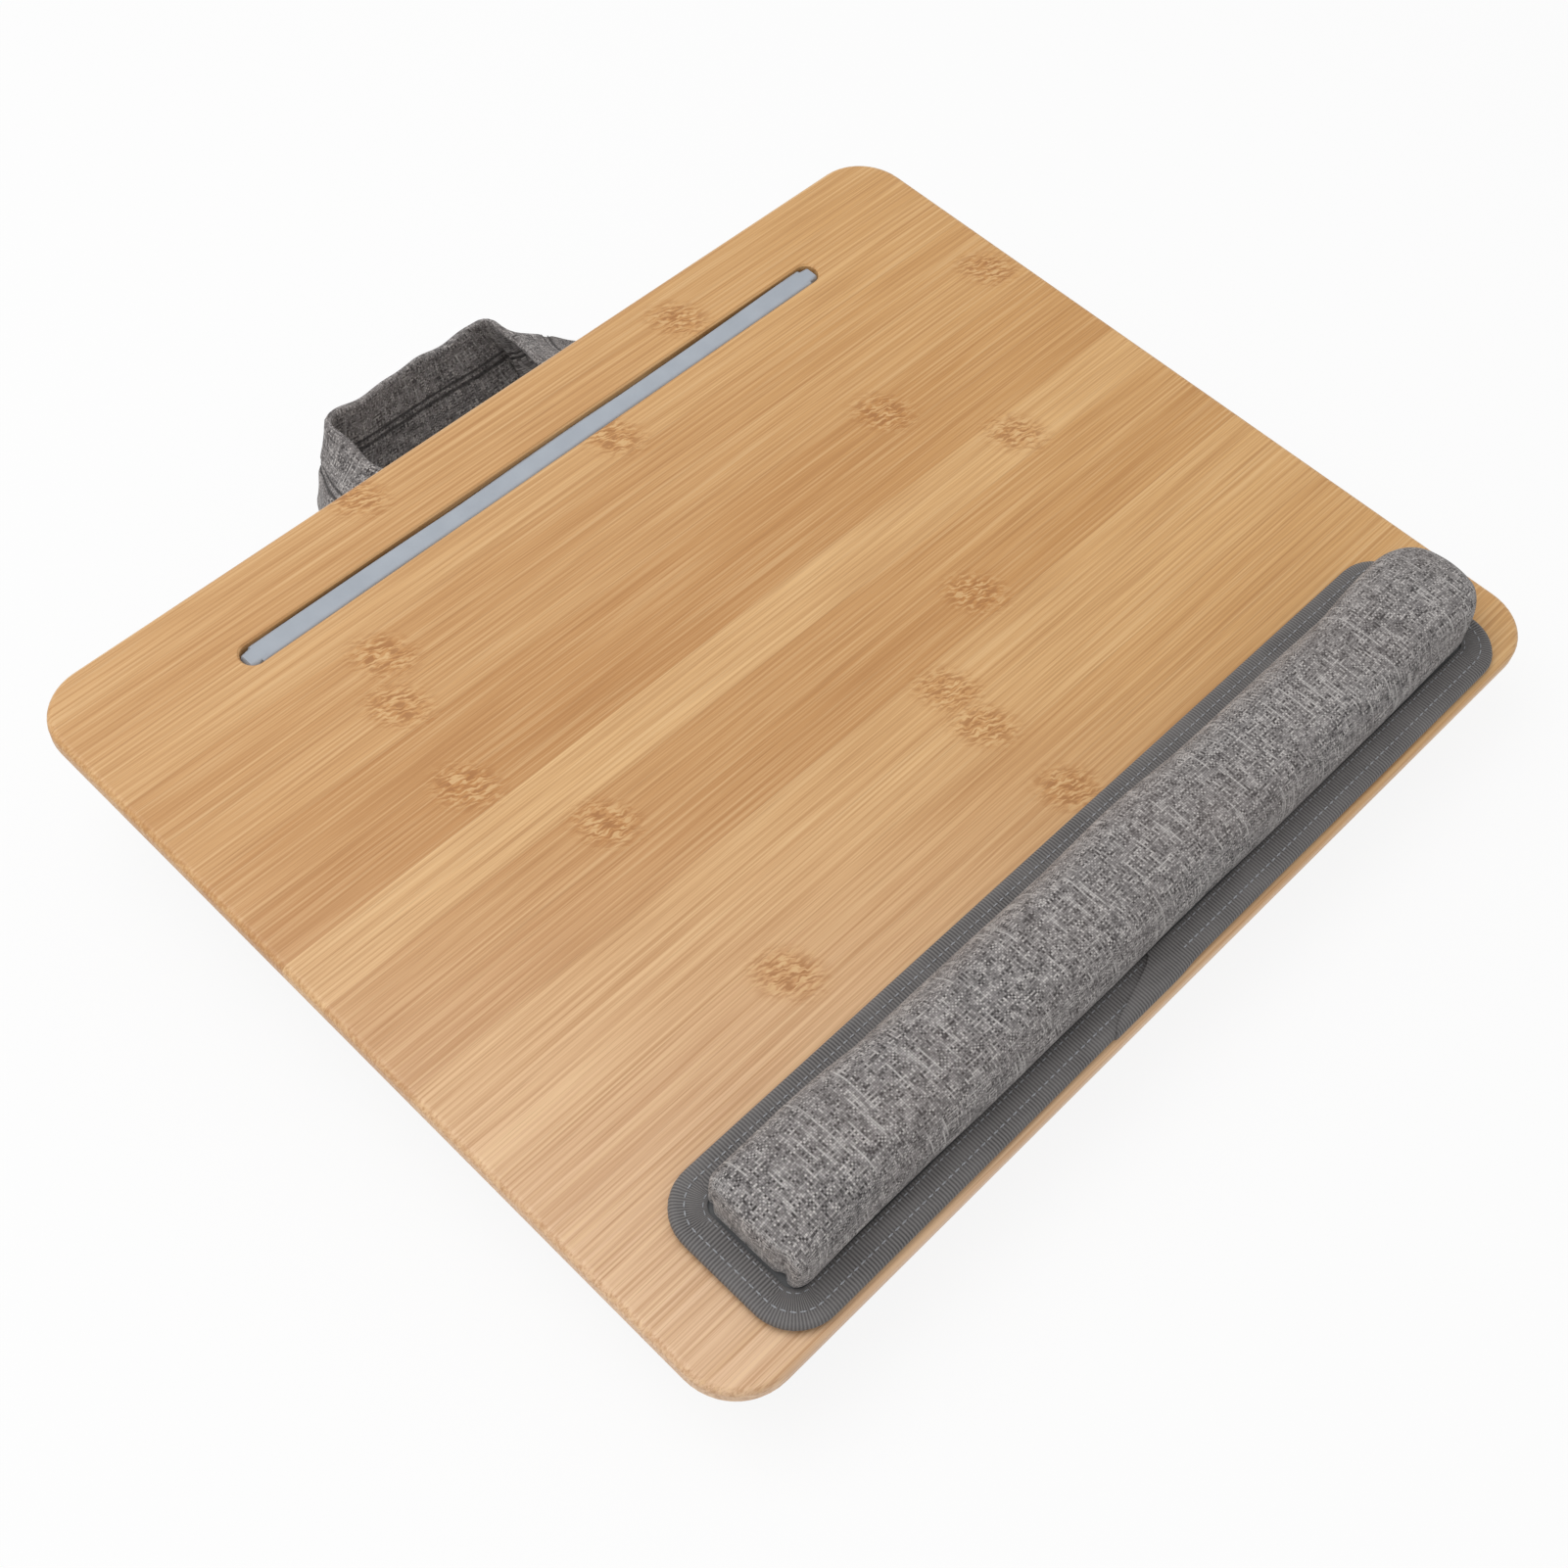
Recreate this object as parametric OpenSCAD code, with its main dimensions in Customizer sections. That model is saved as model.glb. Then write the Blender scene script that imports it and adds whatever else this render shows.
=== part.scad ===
// Lap desk: a bamboo board with a device slot, a padded wrist rest along its front edge,
// a wedge cushion of two bolsters under it and a cloth carry handle behind.
// Millimetres. X runs along the board's width, Y from the user to the rear edge and Z up
// from the surface that the desk stands on. The board leans towards the user.

/* [Board] */
// Width of the board, along X
board_w = 420; // [350:1:504]
// Depth of the board, from the user's edge to the rear edge
board_d = 345; // [288:1:414]
// Thickness of the board
board_t = 8; // [6.5:0.1:12]
// Radius of the board's corners, seen from above
board_corner_r = 21.5; // [12:0.5:40]
// Round-over of the board's upper edge
board_top_round = 2.8; // [1:0.1:3]
// Round-over of the board's lower edge
board_bottom_round = 2; // [0.5:0.1:2.5]
// Angle by which the cushion raises the rear edge
wedge_angle = 5; // [2:0.5:8]

/* [Device slot] */
// Length of the slot, round ends included
slot_length = 288; // [150:1:310]
// Width of the slot
slot_w = 10; // [7:0.5:14]
// Distance from the board's rear edge to the middle of the slot
slot_edge_distance = 36; // [25:1:60]
// Broken edge round the mouth of the slot
slot_chamfer = 0.7; // [0.3:0.1:1.2]

/* [Cushion] */
// How far the cushion's sides lie inside the board's sides
cushion_side_inset = 15; // [8:1:40]
// How far the cushion's front and rear lie inside the board's
cushion_end_inset = 12.5; // [8:0.5:30]
// Height of the cushion at its front edge
cushion_front_h = 30; // [26:0.5:50]
// Radius of the cushion's corners, seen from above
cushion_corner_r = 28; // [15:1:50]
// How far the seam is drawn in between the corners
seam_draw = 4; // [0:0.5:8]
// Height of the side band, between the upper and the lower seam
band_h = 14; // [8:0.5:18]
// Thickness of the side band's cloth
band_t = 1.2; // [0.8:0.1:2]
// Thickness of the panel that faces the board
panel_t = 1; // [0.6:0.1:2]
// How far the padding swells up into the device slot
slot_swell = 2; // [0.5:0.1:3]
// Place of the channel between the bolsters, measured from the board's middle
channel_y = -18; // [-40:1:20]
// Depth of the cover below the lower seam, at the channel
channel_depth = 7; // [4:0.5:12]
// How far the bolsters swell out past the lower seam
bolster_swell = 7; // [2:0.5:10]
// Thickness of the bolsters' cover
cover_t = 1.2; // [0.8:0.1:2]
// Depth of the flat on which each bolster stands
standing_flat = 0.5; // [0.3:0.1:1]

/* [Hook and loop fastening] */
// Thickness of one hook or loop strip
strip_t = 1.2; // [0.8:0.1:2]
// Width of the strips between board and cushion
strip_w = 25; // [15:1:40]
// Distance from the cushion's outline to the strips
strip_margin = 22; // [16:1:40]
// Width of the strips under the wrist rest
rest_strip_w = 20; // [12:1:30]
// Length of the strips under the wrist rest
rest_strip_length = 80; // [40:1:100]
// Thickness of one strip under the wrist rest
rest_strip_t = 0.8; // [0.6:0.1:1.2]

/* [Wrist rest] */
// Distance from the board's sides to the wrist rest, when it lies in the middle
rest_side_margin = 23; // [15:1:60]
// How far the wrist rest lies to the right of the middle
rest_shift = 3; // [-10:0.5:10]
// Width of the bound base, front to rear
rest_base_w = 63.5; // [58:0.5:80]
// Distance from the board's front edge to the base
rest_front_margin = 2; // [1:0.5:20]
// Radius of the base's corners
rest_corner_r = 17; // [14:0.5:25]
// Thickness of the base sheet
rest_base_t = 2.4; // [1.5:0.1:4]
// Width of the binding tape on each face of the base
tape_w = 12; // [8:0.5:13]
// Thickness of the binding tape
tape_t = 0.7; // [0.4:0.1:1]
// Height of the padded roll above the base sheet
roll_h = 20.5; // [15:0.5:30]
// Extra height of the roll at its crown
roll_crown = 1.2; // [0:0.1:3]
// Width of the padded roll
roll_w = 42; // [36:0.5:48]
// Thickness of the roll's cloth
roll_cloth_t = 1; // [0.6:0.1:2]
// Radius of the roll's folded left end
roll_fold_r = 3.5; // [2:0.5:6]
// Radius of the roll's swollen right end
roll_dome_r = 14; // [8:0.5:15]

/* [Carry handle] */
// Distance between the inner edges of the handle's two ends
handle_inner_w = 78; // [60:1:120]
// Width of the handle's strap
strap_w = 40; // [25:1:45]
// Thickness of the strap
strap_t = 3.4; // [2.4:0.1:5]
// Distance from the board's rear edge to the back of the handle
handle_reach = 49; // [35:1:70]
// Height that the strap gains from its ends to its back
handle_lift = 3; // [0:0.5:6]
// Angle by which the strap has rolled on edge at its back
strap_roll = 98; // [80:1:110]
// Radius of the handle's corners
handle_corner_r = 9; // [6:0.5:20]

/* [Hidden] */
$fn = 48;
bite = 1;           // how far a cutting shape runs past the faces that it cuts
soft_gap = 0.3;     // clearance of a filling or a foam core inside its cover
tab_t = 1.6;        // thickness of the strap's ends, pressed flat in the seam
tab_length = 12;    // length of the strap's ends inside the seam
tab_gap = 0.1;      // clearance of the strap's ends in the seam
hinge_gap = 0.4;    // clearance between a sewn end and the moving strap

// Levels in the board's own frame, whose origin is the middle of the board's upper face
board_bottom = -board_t;
strip_meet = board_bottom - strip_t;
panel_top = strip_meet - strip_t;
panel_bottom = panel_top - panel_t;
seam_level = panel_bottom - band_h;

cushion_w = board_w - 2 * cushion_side_inset;
cushion_d = board_d - 2 * cushion_end_inset;
slot_y = board_d / 2 - slot_edge_distance;

// Height of the board's middle above the standing surface
board_mid_z = cushion_front_h + cushion_d / 2 * tan(wedge_angle) - panel_top / cos(wedge_angle);

// Turns a point from the board's frame to the standing frame
function stand(p) = [
    p[0],
    p[1] * cos(wedge_angle) - p[2] * sin(wedge_angle),
    p[1] * sin(wedge_angle) + p[2] * cos(wedge_angle) + board_mid_z];

// The cushion's outline in the board's frame, for u and v from -1 to 1, inset by a margin:
// a rectangle whose sides are drawn in between rounded corners
corner_power = 14;
corner_cut = cushion_corner_r * (1 - sqrt(0.5));
function drawn(along, across, half) =
    across * half - sign(across) * corner_cut * pow(abs(along * across), corner_power)
    - across * pow(abs(across), 4) * seam_draw * (1 - along * along);
function outline_x(u, v, margin = 0) = drawn(v, u, cushion_w / 2 - margin);
function outline_y(u, v, margin = 0) = drawn(u, v, cushion_d / 2 - margin);

// Columns across the cushion and rows along each bolster lie at angles from -90 to 90,
// closer together at the ends, and the middle ones carry the flat that it stands on
function eased(angle, power) = sign(sin(angle)) * pow(abs(sin(angle)), power);
side_power = 0.4;
column_angles = [-90, -81, -71, -60, -48, -35, -21, -6, 6, 21, 35, 48, 60, 71, 81, 90];
side_steps = len(column_angles) - 1;
function side_u(i) = eased(column_angles[i], side_power);

// Rows run over the front bolster, the channel and the rear bolster
bolster_power = 0.77;
row_angles = [-90, -77, -64, -50, -36, -21, -6, 6, 21, 36, 50, 64, 77, 90];
bolster_steps = len(row_angles) - 1;
row_count = 2 * bolster_steps;
channel_v = channel_y / (cushion_d / 2);
function row_angle(j) = row_angles[j % bolster_steps];
function row_v(j) =
    j == row_count ? 1
    : let (along = (1 + eased(row_angle(j), bolster_power)) / 2)
        j < bolster_steps ? -1 + (channel_v + 1) * along : channel_v + (1 - channel_v) * along;

// Points round the outline, anticlockwise from the front left corner
function outline_points(margin) = concat(
    [for (i = [0:side_steps - 1]) [outline_x(side_u(i), -1, margin), outline_y(side_u(i), -1, margin)]],
    [for (j = [0:row_count - 1]) [outline_x(1, row_v(j), margin), outline_y(1, row_v(j), margin)]],
    [for (i = [side_steps:-1:1]) [outline_x(side_u(i), 1, margin), outline_y(side_u(i), 1, margin)]],
    [for (j = [row_count:-1:1]) [outline_x(-1, row_v(j), margin), outline_y(-1, row_v(j), margin)]]);

// Share of the full depth that the cover reaches: across the cushion, and along it
depth_power = 0.88;
function side_depth(angle) = pow(max(cos(angle), 0), depth_power);
channel_seam_z = stand([0, channel_y, seam_level])[2];
channel_share = channel_depth / (channel_seam_z + standing_flat);
function bolster_depth(angle, towards_channel) =
    let (round_part = pow(max(cos(angle), 0), depth_power),
        near = (1 + towards_channel * sin(angle)) / 2)
    round_part + channel_share * near * (1 - round_part);
// Swelling past the seam, largest a little below it
function swell(angle) = bolster_swell * 2.6 * pow(sin(angle), 2) * max(cos(angle), 0);

// Point of the bolsters' lower surface. The angles run from -90 to 90, across the cushion
// and across one bolster: side is -1 for the front bolster and 1 for the rear one. The wall
// is the distance inside the cover's outer face, and the parting is a gap at the channel
function bolster_point(across, angle, side, wall = 0, parting = 0) =
    let (u = eased(across, side_power),
        along = (1 + eased(angle, bolster_power)) / 2,
        middle = channel_v + side * parting / (cushion_d / 2),
        v = side < 0 ? -1 + (middle + 1) * along : middle + (1 - middle) * along,
        outer = max(side * sin(angle), 0),
        seam = stand([outline_x(u, v, wall), outline_y(u, v, wall), seam_level]),
        share = side_depth(across) * bolster_depth(angle, -side))
    [seam[0] + sign(across) * swell(across) * bolster_depth(angle, -side),
        seam[1] + side * outer * swell(angle) * side_depth(across),
        max(wall, seam[2] * (1 - share) - (standing_flat - wall) * share)];

function grid_faces(columns, rows, start = 0) = [for (j = [0:rows - 1]) for (i = [0:columns - 1])
    let (a = start + j * (columns + 1) + i, b = a + columns + 1)
    each [[a, a + 1, b + 1], [a, b + 1, b]]];
function flipped(faces) = [for (f = faces) [f[2], f[1], f[0]]];
function rim(columns, rows) = concat(
    [for (i = [0:columns - 1]) i],
    [for (j = [0:rows - 1]) j * (columns + 1) + columns],
    [for (i = [columns:-1:1]) rows * (columns + 1) + i],
    [for (j = [rows:-1:1]) j * (columns + 1)]);

// The cover is a tub: its outer and its inner face, joined along the seam
function cover_grid(wall) = [for (j = [0:row_count]) for (i = [0:side_steps])
    let (angle = j == row_count ? 90 : row_angle(j), side = j < bolster_steps ? -1 : 1)
    bolster_point(column_angles[i], angle, side, wall)];
function cover_faces() =
    let (ring = rim(side_steps, row_count), m = len(ring), n = (side_steps + 1) * (row_count + 1))
    concat(grid_faces(side_steps, row_count), flipped(grid_faces(side_steps, row_count, n)),
        [for (k = [0:m - 1])
            let (a = ring[k], b = ring[(k + 1) % m])
            each [[b, a, a + n], [b, a + n, b + n]]]);

// A filling follows the inside of its half of the cover and is flat above, a little below
// the seam
function filling_point(across, angle, side) =
    let (p = bolster_point(across, angle, side, cover_t + soft_gap, soft_gap),
        inside = side_depth(across) * (side * sin(angle) > 0 ? side_depth(angle) : 1))
    [p[0], p[1], p[2] - soft_gap * pow(1 - inside, 4)];
module filling(side) {
    points = [for (angle = row_angles) for (across = column_angles) filling_point(across, angle, side)];
    ring = rim(side_steps, bolster_steps);
    n = len(points);
    m = len(ring);
    middle = (channel_y + side * cushion_d / 2) / 2;
    polyhedron(concat(points, [stand([0, middle, seam_level]) - [0, 0, soft_gap]]),
        concat(grid_faces(side_steps, bolster_steps),
            [for (k = [0:m - 1]) [ring[(k + 1) % m], ring[k], n]]), convexity = 4);
}

// Wrist rest, in the board's frame, with its own origin under the middle of its base
rest_length = board_w - 2 * rest_side_margin;
rest_y = -board_d / 2 + rest_front_margin + rest_base_w / 2;
rest_base_bottom = 2 * rest_strip_t;
rest_base_top = rest_base_bottom + rest_base_t;
roll_left = -rest_length / 2 + tape_w + 0.5;
roll_right = rest_length / 2 - 0.5;
roll_mid_h = roll_h / 2;
roll_rear_shift = 0.8;
roll_side_draw = 0.8;
tape_clearance = 0.5;
// The roll's foot stands between the tape's inner edges, and its right end swells over them
roll_foot = rest_base_w / 2 - tape_w - roll_rear_shift - tape_clearance;
roll_tuck = max(roll_w / 2 - roll_foot, 0.5);
upper_power = 2 / 2.8;
lower_power = 2 / 5;
// How much smaller a section is, at a distance d from an end with radius r
function end_inset(d, r) = d >= r ? 0 : r - sqrt(max(r * r - (r - d) * (r - d), 0));
function fold_inset(x) = end_inset(x - roll_left, roll_fold_r);
function dome_inset(x) = end_inset(roll_right - x, roll_dome_r);
dome_flat = min(1, (roll_mid_h - 2.5) / roll_dome_r);
function power_of(value, power) = sign(value) * pow(abs(value), power);
// Height of a section's foot: the base, or clear of the tape under the swollen end
function roll_floor(x) = roll_right - x > roll_dome_r - 0.5 ? 0
    : tape_t + tape_clearance + 0.6 * dome_flat * dome_inset(x);
function roll_section(x, wall, lift, foot_lift, angles) =
    let (s = 2 * (x - roll_left) / (roll_right - roll_left) - 1,
        half_w = roll_w / 2 - roll_side_draw * (1 - s * s) - max(fold_inset(x), dome_inset(x)) - wall,
        up = roll_h - roll_mid_h + roll_crown * (1 - s * s) - max(fold_inset(x), dome_flat * dome_inset(x)) - wall,
        low = roll_floor(x))
    [for (a = angles)
        let (upper = sin(a) > 0, power = upper ? upper_power : lower_power,
            down = min(pow(abs(sin(a)) / sin(foot_angle), power), 1),
            h = upper ? roll_mid_h + up * pow(sin(a), power)
                : roll_mid_h - (roll_mid_h - low - (down > 0.999 ? foot_lift : lift)) * down,
            tuck = roll_tuck * pow(max(1 - h / roll_mid_h, 0), 2))
        [x, roll_rear_shift + (half_w - tuck) * power_of(cos(a), power), rest_base_top + h]];
// Angles of a section: over the top from foot to foot, or all the way round
foot_angle = 40;
roll_step = 15;
over_angles = concat([180 + foot_angle], [for (a = [210:-roll_step:-30]) a], [-foot_angle]);
round_angles = [for (a = [180:-roll_step:-165]) a];
end_steps = 4;
dome_steps = 6;
roll_steps = 11;
function roll_stations(wall) =
    let (left = roll_left + wall, right = roll_right - wall,
        fold = roll_fold_r - wall, dome = roll_dome_r - wall)
    concat([for (k = [0:end_steps - 1]) left + fold * (1 - cos(90 * k / end_steps))],
        [for (k = [0:roll_steps]) left + fold + (right - dome - left - fold) * k / roll_steps],
        [for (k = [1:dome_steps - 1]) right - dome * (1 - sin(90 * k / dome_steps))]);

// A closed tube of rings, with a fan at each end
function sweep_points(rings) = concat([for (r = rings) each r],
    [mean(rings[0]), mean(rings[len(rings) - 1])]);
function mean(points) = [for (a = [0:2]) let (v = [for (p = points) p[a]]) sum(v) / len(v)];
function sum(v, k = 0) = k >= len(v) ? 0 : v[k] + sum(v, k + 1);
// Beyond the turn the diagonals lean the other way, so that a twisted strap keeps its
// thickness
function sweep_sides(count, n, turn = 1000) = [for (k = [0:count - 2]) for (i = [0:n - 1])
    let (a = k * n + i, b = k * n + (i + 1) % n)
    each i < turn ? [[a, b, b + n], [a, b + n, a + n]] : [[a, b, a + n], [b, b + n, a + n]]];
function sweep_faces(count, n, turn) = concat(sweep_sides(count, n, turn),
    [for (i = [0:n - 1]) [(i + 1) % n, i, count * n]],
    [for (i = [0:n - 1]) [(count - 1) * n + i, (count - 1) * n + (i + 1) % n, count * n + 1]]);
module sweep(rings, turn = 1000) {
    polyhedron(sweep_points(rings), sweep_faces(len(rings), len(rings[0]), turn), convexity = 4);
}

// Carry handle, in the board's frame. Its upper edge runs back, round a corner and across
handle_x = handle_inner_w / 2;
strap_outline_y = outline_y((handle_x + strap_w) / (cushion_w / 2), 1);
tab_end_y = strap_outline_y + hinge_gap;
tab_z = seam_level + tab_gap + tab_t / 2;
hinge_y = tab_end_y + hinge_gap + strap_t / 2;
handle_back_y = board_d / 2 + handle_reach;
leg_steps = 8;
bend_steps = 5;
back_steps = 8;
leg_run = handle_back_y - handle_corner_r - hinge_y;
bend_run = handle_corner_r * PI / 2;
back_run = handle_inner_w - 2 * handle_corner_r;
half_run = leg_run + bend_run + back_run / 2;
function handle_stations() = concat(
    [for (k = [0:leg_steps - 1]) leg_run * k / leg_steps],
    [for (k = [0:bend_steps - 1]) leg_run + bend_run * k / bend_steps],
    [for (k = [0:back_steps]) leg_run + bend_run + back_run * k / back_steps],
    [for (k = [1:bend_steps]) leg_run + bend_run + back_run + bend_run * k / bend_steps],
    [for (k = [1:leg_steps]) 2 * half_run - leg_run * (1 - k / leg_steps)]);
// Heading of the strap at a run along its upper edge: 90 is to the rear, 0 is to the right
function heading(run) = run > half_run ? -heading(2 * half_run - run)
    : run <= leg_run ? 90 : run >= leg_run + bend_run ? 0 : 90 * (1 - (run - leg_run) / bend_run);
function edge_point(run) =
    run > half_run ? let (p = edge_point(2 * half_run - run)) [-p[0], p[1], p[2]]
    : let (z = tab_z + handle_lift * max(min(run / leg_run, 1), 0))
        run <= leg_run ? [-handle_x, hinge_y + run, z]
        : run <= leg_run + bend_run ? let (a = 180 - 90 * (run - leg_run) / bend_run)
            [-handle_x + handle_corner_r * (1 + cos(a)), hinge_y + leg_run + handle_corner_r * sin(a), z]
        : [-handle_x + handle_corner_r + run - leg_run - bend_run, handle_back_y, z];
// The strap lies flat at its ends and rolls on edge towards its back
function roll_angle(run) =
    let (s = max(min(run, 2 * half_run - run), 0) / (leg_run + bend_run * 0.6))
    s >= 1 ? strap_roll : strap_roll * (1 - cos(180 * s)) / 2;
strap_edge = 1.4;
// One ring of the strap, inset from its outer faces by a wall. Its ends are rounded about
// the line along which they swing
function strap_ring(run, wall, thinned = 1) =
    let (h = heading(run), r = roll_angle(run), t = (strap_t / 2 - wall) * thinned, e = max(strap_edge - wall, 0.3),
        outward = [-sin(h), cos(h), 0],
        across = [outward[0] * cos(r), outward[1] * cos(r), -sin(r)],
        normal = [outward[0] * sin(r), outward[1] * sin(r), cos(r)],
        p = edge_point(run),
        profile = [[wall, t / 2], [wall + e, t], [strap_w / 2, t], [strap_w - wall - e, t], [strap_w - wall, t / 2],
            [strap_w - wall, -t / 2], [strap_w - wall - e, -t], [strap_w / 2, -t], [wall + e, -t], [wall, -t / 2]])
    [for (q = profile) p + across * q[0] + normal * q[1]];
end_angles = [80, 52, 26];
function strap_rings(wall) = let (r = strap_t / 2 - wall) concat(
    [for (a = end_angles) strap_ring(-r * sin(a), wall, cos(a))],
    [for (run = handle_stations()) strap_ring(run, wall)],
    [for (k = [2:-1:0]) strap_ring(2 * half_run + r * sin(end_angles[k]), wall, cos(end_angles[k]))]);
strap_turn = 5;
strap_cloth_t = 0.9;
webbing_gap = 0.3;

// The standing frame's Y origin is the middle of the whole footprint, handle included
front_y = (-board_d / 2 + board_top_round) * cos(wedge_angle)
    + board_top_round * sin(wedge_angle) - board_top_round;
rear_y = max([for (r = strap_rings(0)) for (p = r) stand(p)[1]]);
desk_y = -(front_y + rear_y) / 2;

module standing() translate([0, desk_y, 0]) children();
module on_board() standing() translate([0, 0, board_mid_z]) rotate([wedge_angle, 0, 0]) children();
module on_rest() on_board() translate([rest_shift, rest_y, 0]) children();

// A flat rectangle with round corners
module round_rect(l, w, r) {
    square([l - 2 * r, w], center = true);
    square([l, w - 2 * r], center = true);
    for (x = [-1, 1], y = [-1, 1]) translate([x * (l / 2 - r), y * (w / 2 - r)]) circle(r);
}

// Carries a profile round a rectangle with round corners. The profile's X runs outwards
// from the edge and its Y is the height
module edge_run(l, w, r) {
    for (side = [0, 1]) rotate([0, 0, 180 * side]) {
        translate([l / 2, 0, 0]) rotate([90, 0, 0])
            linear_extrude(w - 2 * r, center = true) children();
        translate([0, w / 2, 0]) rotate([90, 0, 90])
            linear_extrude(l - 2 * r, center = true) children();
        for (turn = [0, 90]) rotate([0, 0, turn])
            translate([(turn == 0 ? l : w) / 2 - r, (turn == 0 ? w : l) / 2 - r, 0])
                rotate_extrude(angle = 90) translate([r, 0]) children();
    }
}

// Section of the board's edge, down to the straight middle of the board
module board_edge() {
    edge = max(board_top_round, board_bottom_round);
    translate([-board_corner_r, -board_t]) square([board_corner_r - edge, board_t]);
    translate([-board_top_round, -board_top_round]) circle(board_top_round);
    translate([-board_bottom_round, board_bottom_round - board_t]) circle(board_bottom_round);
    translate([-edge, board_bottom_round - board_t])
        square([edge, board_t - board_top_round - board_bottom_round]);
    translate([-edge - bite / 2, -board_t]) square([edge - board_bottom_round + bite / 2, board_t / 2]);
    translate([-edge - bite / 2, -board_t / 2]) square([edge - board_top_round + bite / 2, board_t / 2]);
}

// The slot as a through cut with round ends, widened at its mouth by the broken edge
module slot_cut() {
    run = slot_length - slot_w;
    r = slot_w / 2;
    translate([0, slot_y, 0]) {
        for (x = [-run / 2, run / 2]) translate([x, 0, 0]) {
            translate([0, 0, -board_t - bite]) cylinder(h = board_t + 2 * bite, r = r);
            translate([0, 0, -slot_chamfer]) cylinder(h = 2 * slot_chamfer, r1 = r, r2 = r + 2 * slot_chamfer);
        }
        translate([-run / 2, -r, -board_t - bite]) cube([run, slot_w, board_t + 2 * bite]);
        rotate([90, 0, 90]) linear_extrude(run, center = true)
            polygon([[-r, -slot_chamfer], [r, -slot_chamfer],
                [r + 2 * slot_chamfer, slot_chamfer], [-r - 2 * slot_chamfer, slot_chamfer]]);
    }
}

module desk_board() color("#cda06b") on_board() difference() {
    union() {
        edge_run(board_w, board_d, board_corner_r) board_edge();
        translate([-board_w / 2 + board_corner_r - bite, -board_d / 2 + board_corner_r - bite, -board_t])
            cube([board_w - 2 * board_corner_r + 2 * bite, board_d - 2 * board_corner_r + 2 * bite, board_t]);
    }
    slot_cut();
}

// Four strips between board and cushion: front, rear, left and right
module cushion_strips(level) {
    row_l = cushion_w - 2 * strip_margin;
    front = -cushion_d / 2 + strip_margin + strip_w / 2;
    rear = slot_y - slot_w / 2 - strip_w;
    side_l = rear - front - strip_w - 2 * strip_margin;
    for (y = [front, rear]) translate([0, y, level]) linear_extrude(strip_t) round_rect(row_l, strip_w, 3);
    for (x = [-1, 1]) translate([x * (row_l - strip_w) / 2, (front + rear) / 2, level])
        linear_extrude(strip_t) round_rect(strip_w, side_l, 3);
}
module board_hook_strips() color("#4b4b4c") on_board() cushion_strips(strip_meet);
module cushion_loop_strips() color("#5d5e5f") on_board() cushion_strips(panel_top);

// Three strips under the wrist rest
module rest_strips(level) {
    pitch = (rest_length - 2 * tape_w - rest_strip_length) / 2 - rest_strip_w;
    for (x = [-1:1]) translate([x * pitch, 0, level])
        linear_extrude(rest_strip_t) round_rect(rest_strip_length, rest_strip_w, 3);
}
module rest_hook_strips() color("#4b4b4c") on_rest() rest_strips(0);
module rest_loop_strips() color("#5d5e5f") on_rest() rest_strips(rest_strip_t);

module rest_base_sheet() color("#6a6b6c") on_rest() translate([0, 0, rest_base_bottom])
    linear_extrude(rest_base_t)
        round_rect(rest_length - 2 * tape_t, rest_base_w - 2 * tape_t, rest_corner_r - tape_t);

// The tape folds round the edge of the base, and its ends lap at the front
tape_h = rest_base_t + 2 * tape_t;
lap_x = -40;
lap_run = 60;
lap_slant = 30;
module tape_section() difference() {
    union() {
        translate([-tape_h / 2, 0]) circle(tape_h / 2);
        translate([-tape_w, -tape_h / 2]) square([tape_w - tape_h / 2, tape_h]);
    }
    translate([-tape_w - bite, -rest_base_t / 2]) square([tape_w + bite - tape_t, rest_base_t]);
}
module tape_lap() intersection() {
    translate([lap_x, -rest_base_w / 2 + tape_w, 0]) rotate([90, 0, 0])
        linear_extrude(tape_w - tape_h / 2) polygon([[0, 0], [0, tape_t], [lap_run, 0]]);
    translate([0, -rest_base_w / 2, 0]) linear_extrude(tape_t)
        polygon([[lap_x, 0], [lap_x + lap_slant, tape_w], [lap_x + lap_run, tape_w], [lap_x + lap_run, 0]]);
}
module rest_binding_tape() color("#747576") on_rest() {
    translate([0, 0, rest_base_bottom + rest_base_t / 2])
        edge_run(rest_length, rest_base_w, rest_corner_r) tape_section();
    translate([0, 0, rest_base_top + tape_t]) tape_lap();
}

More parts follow.
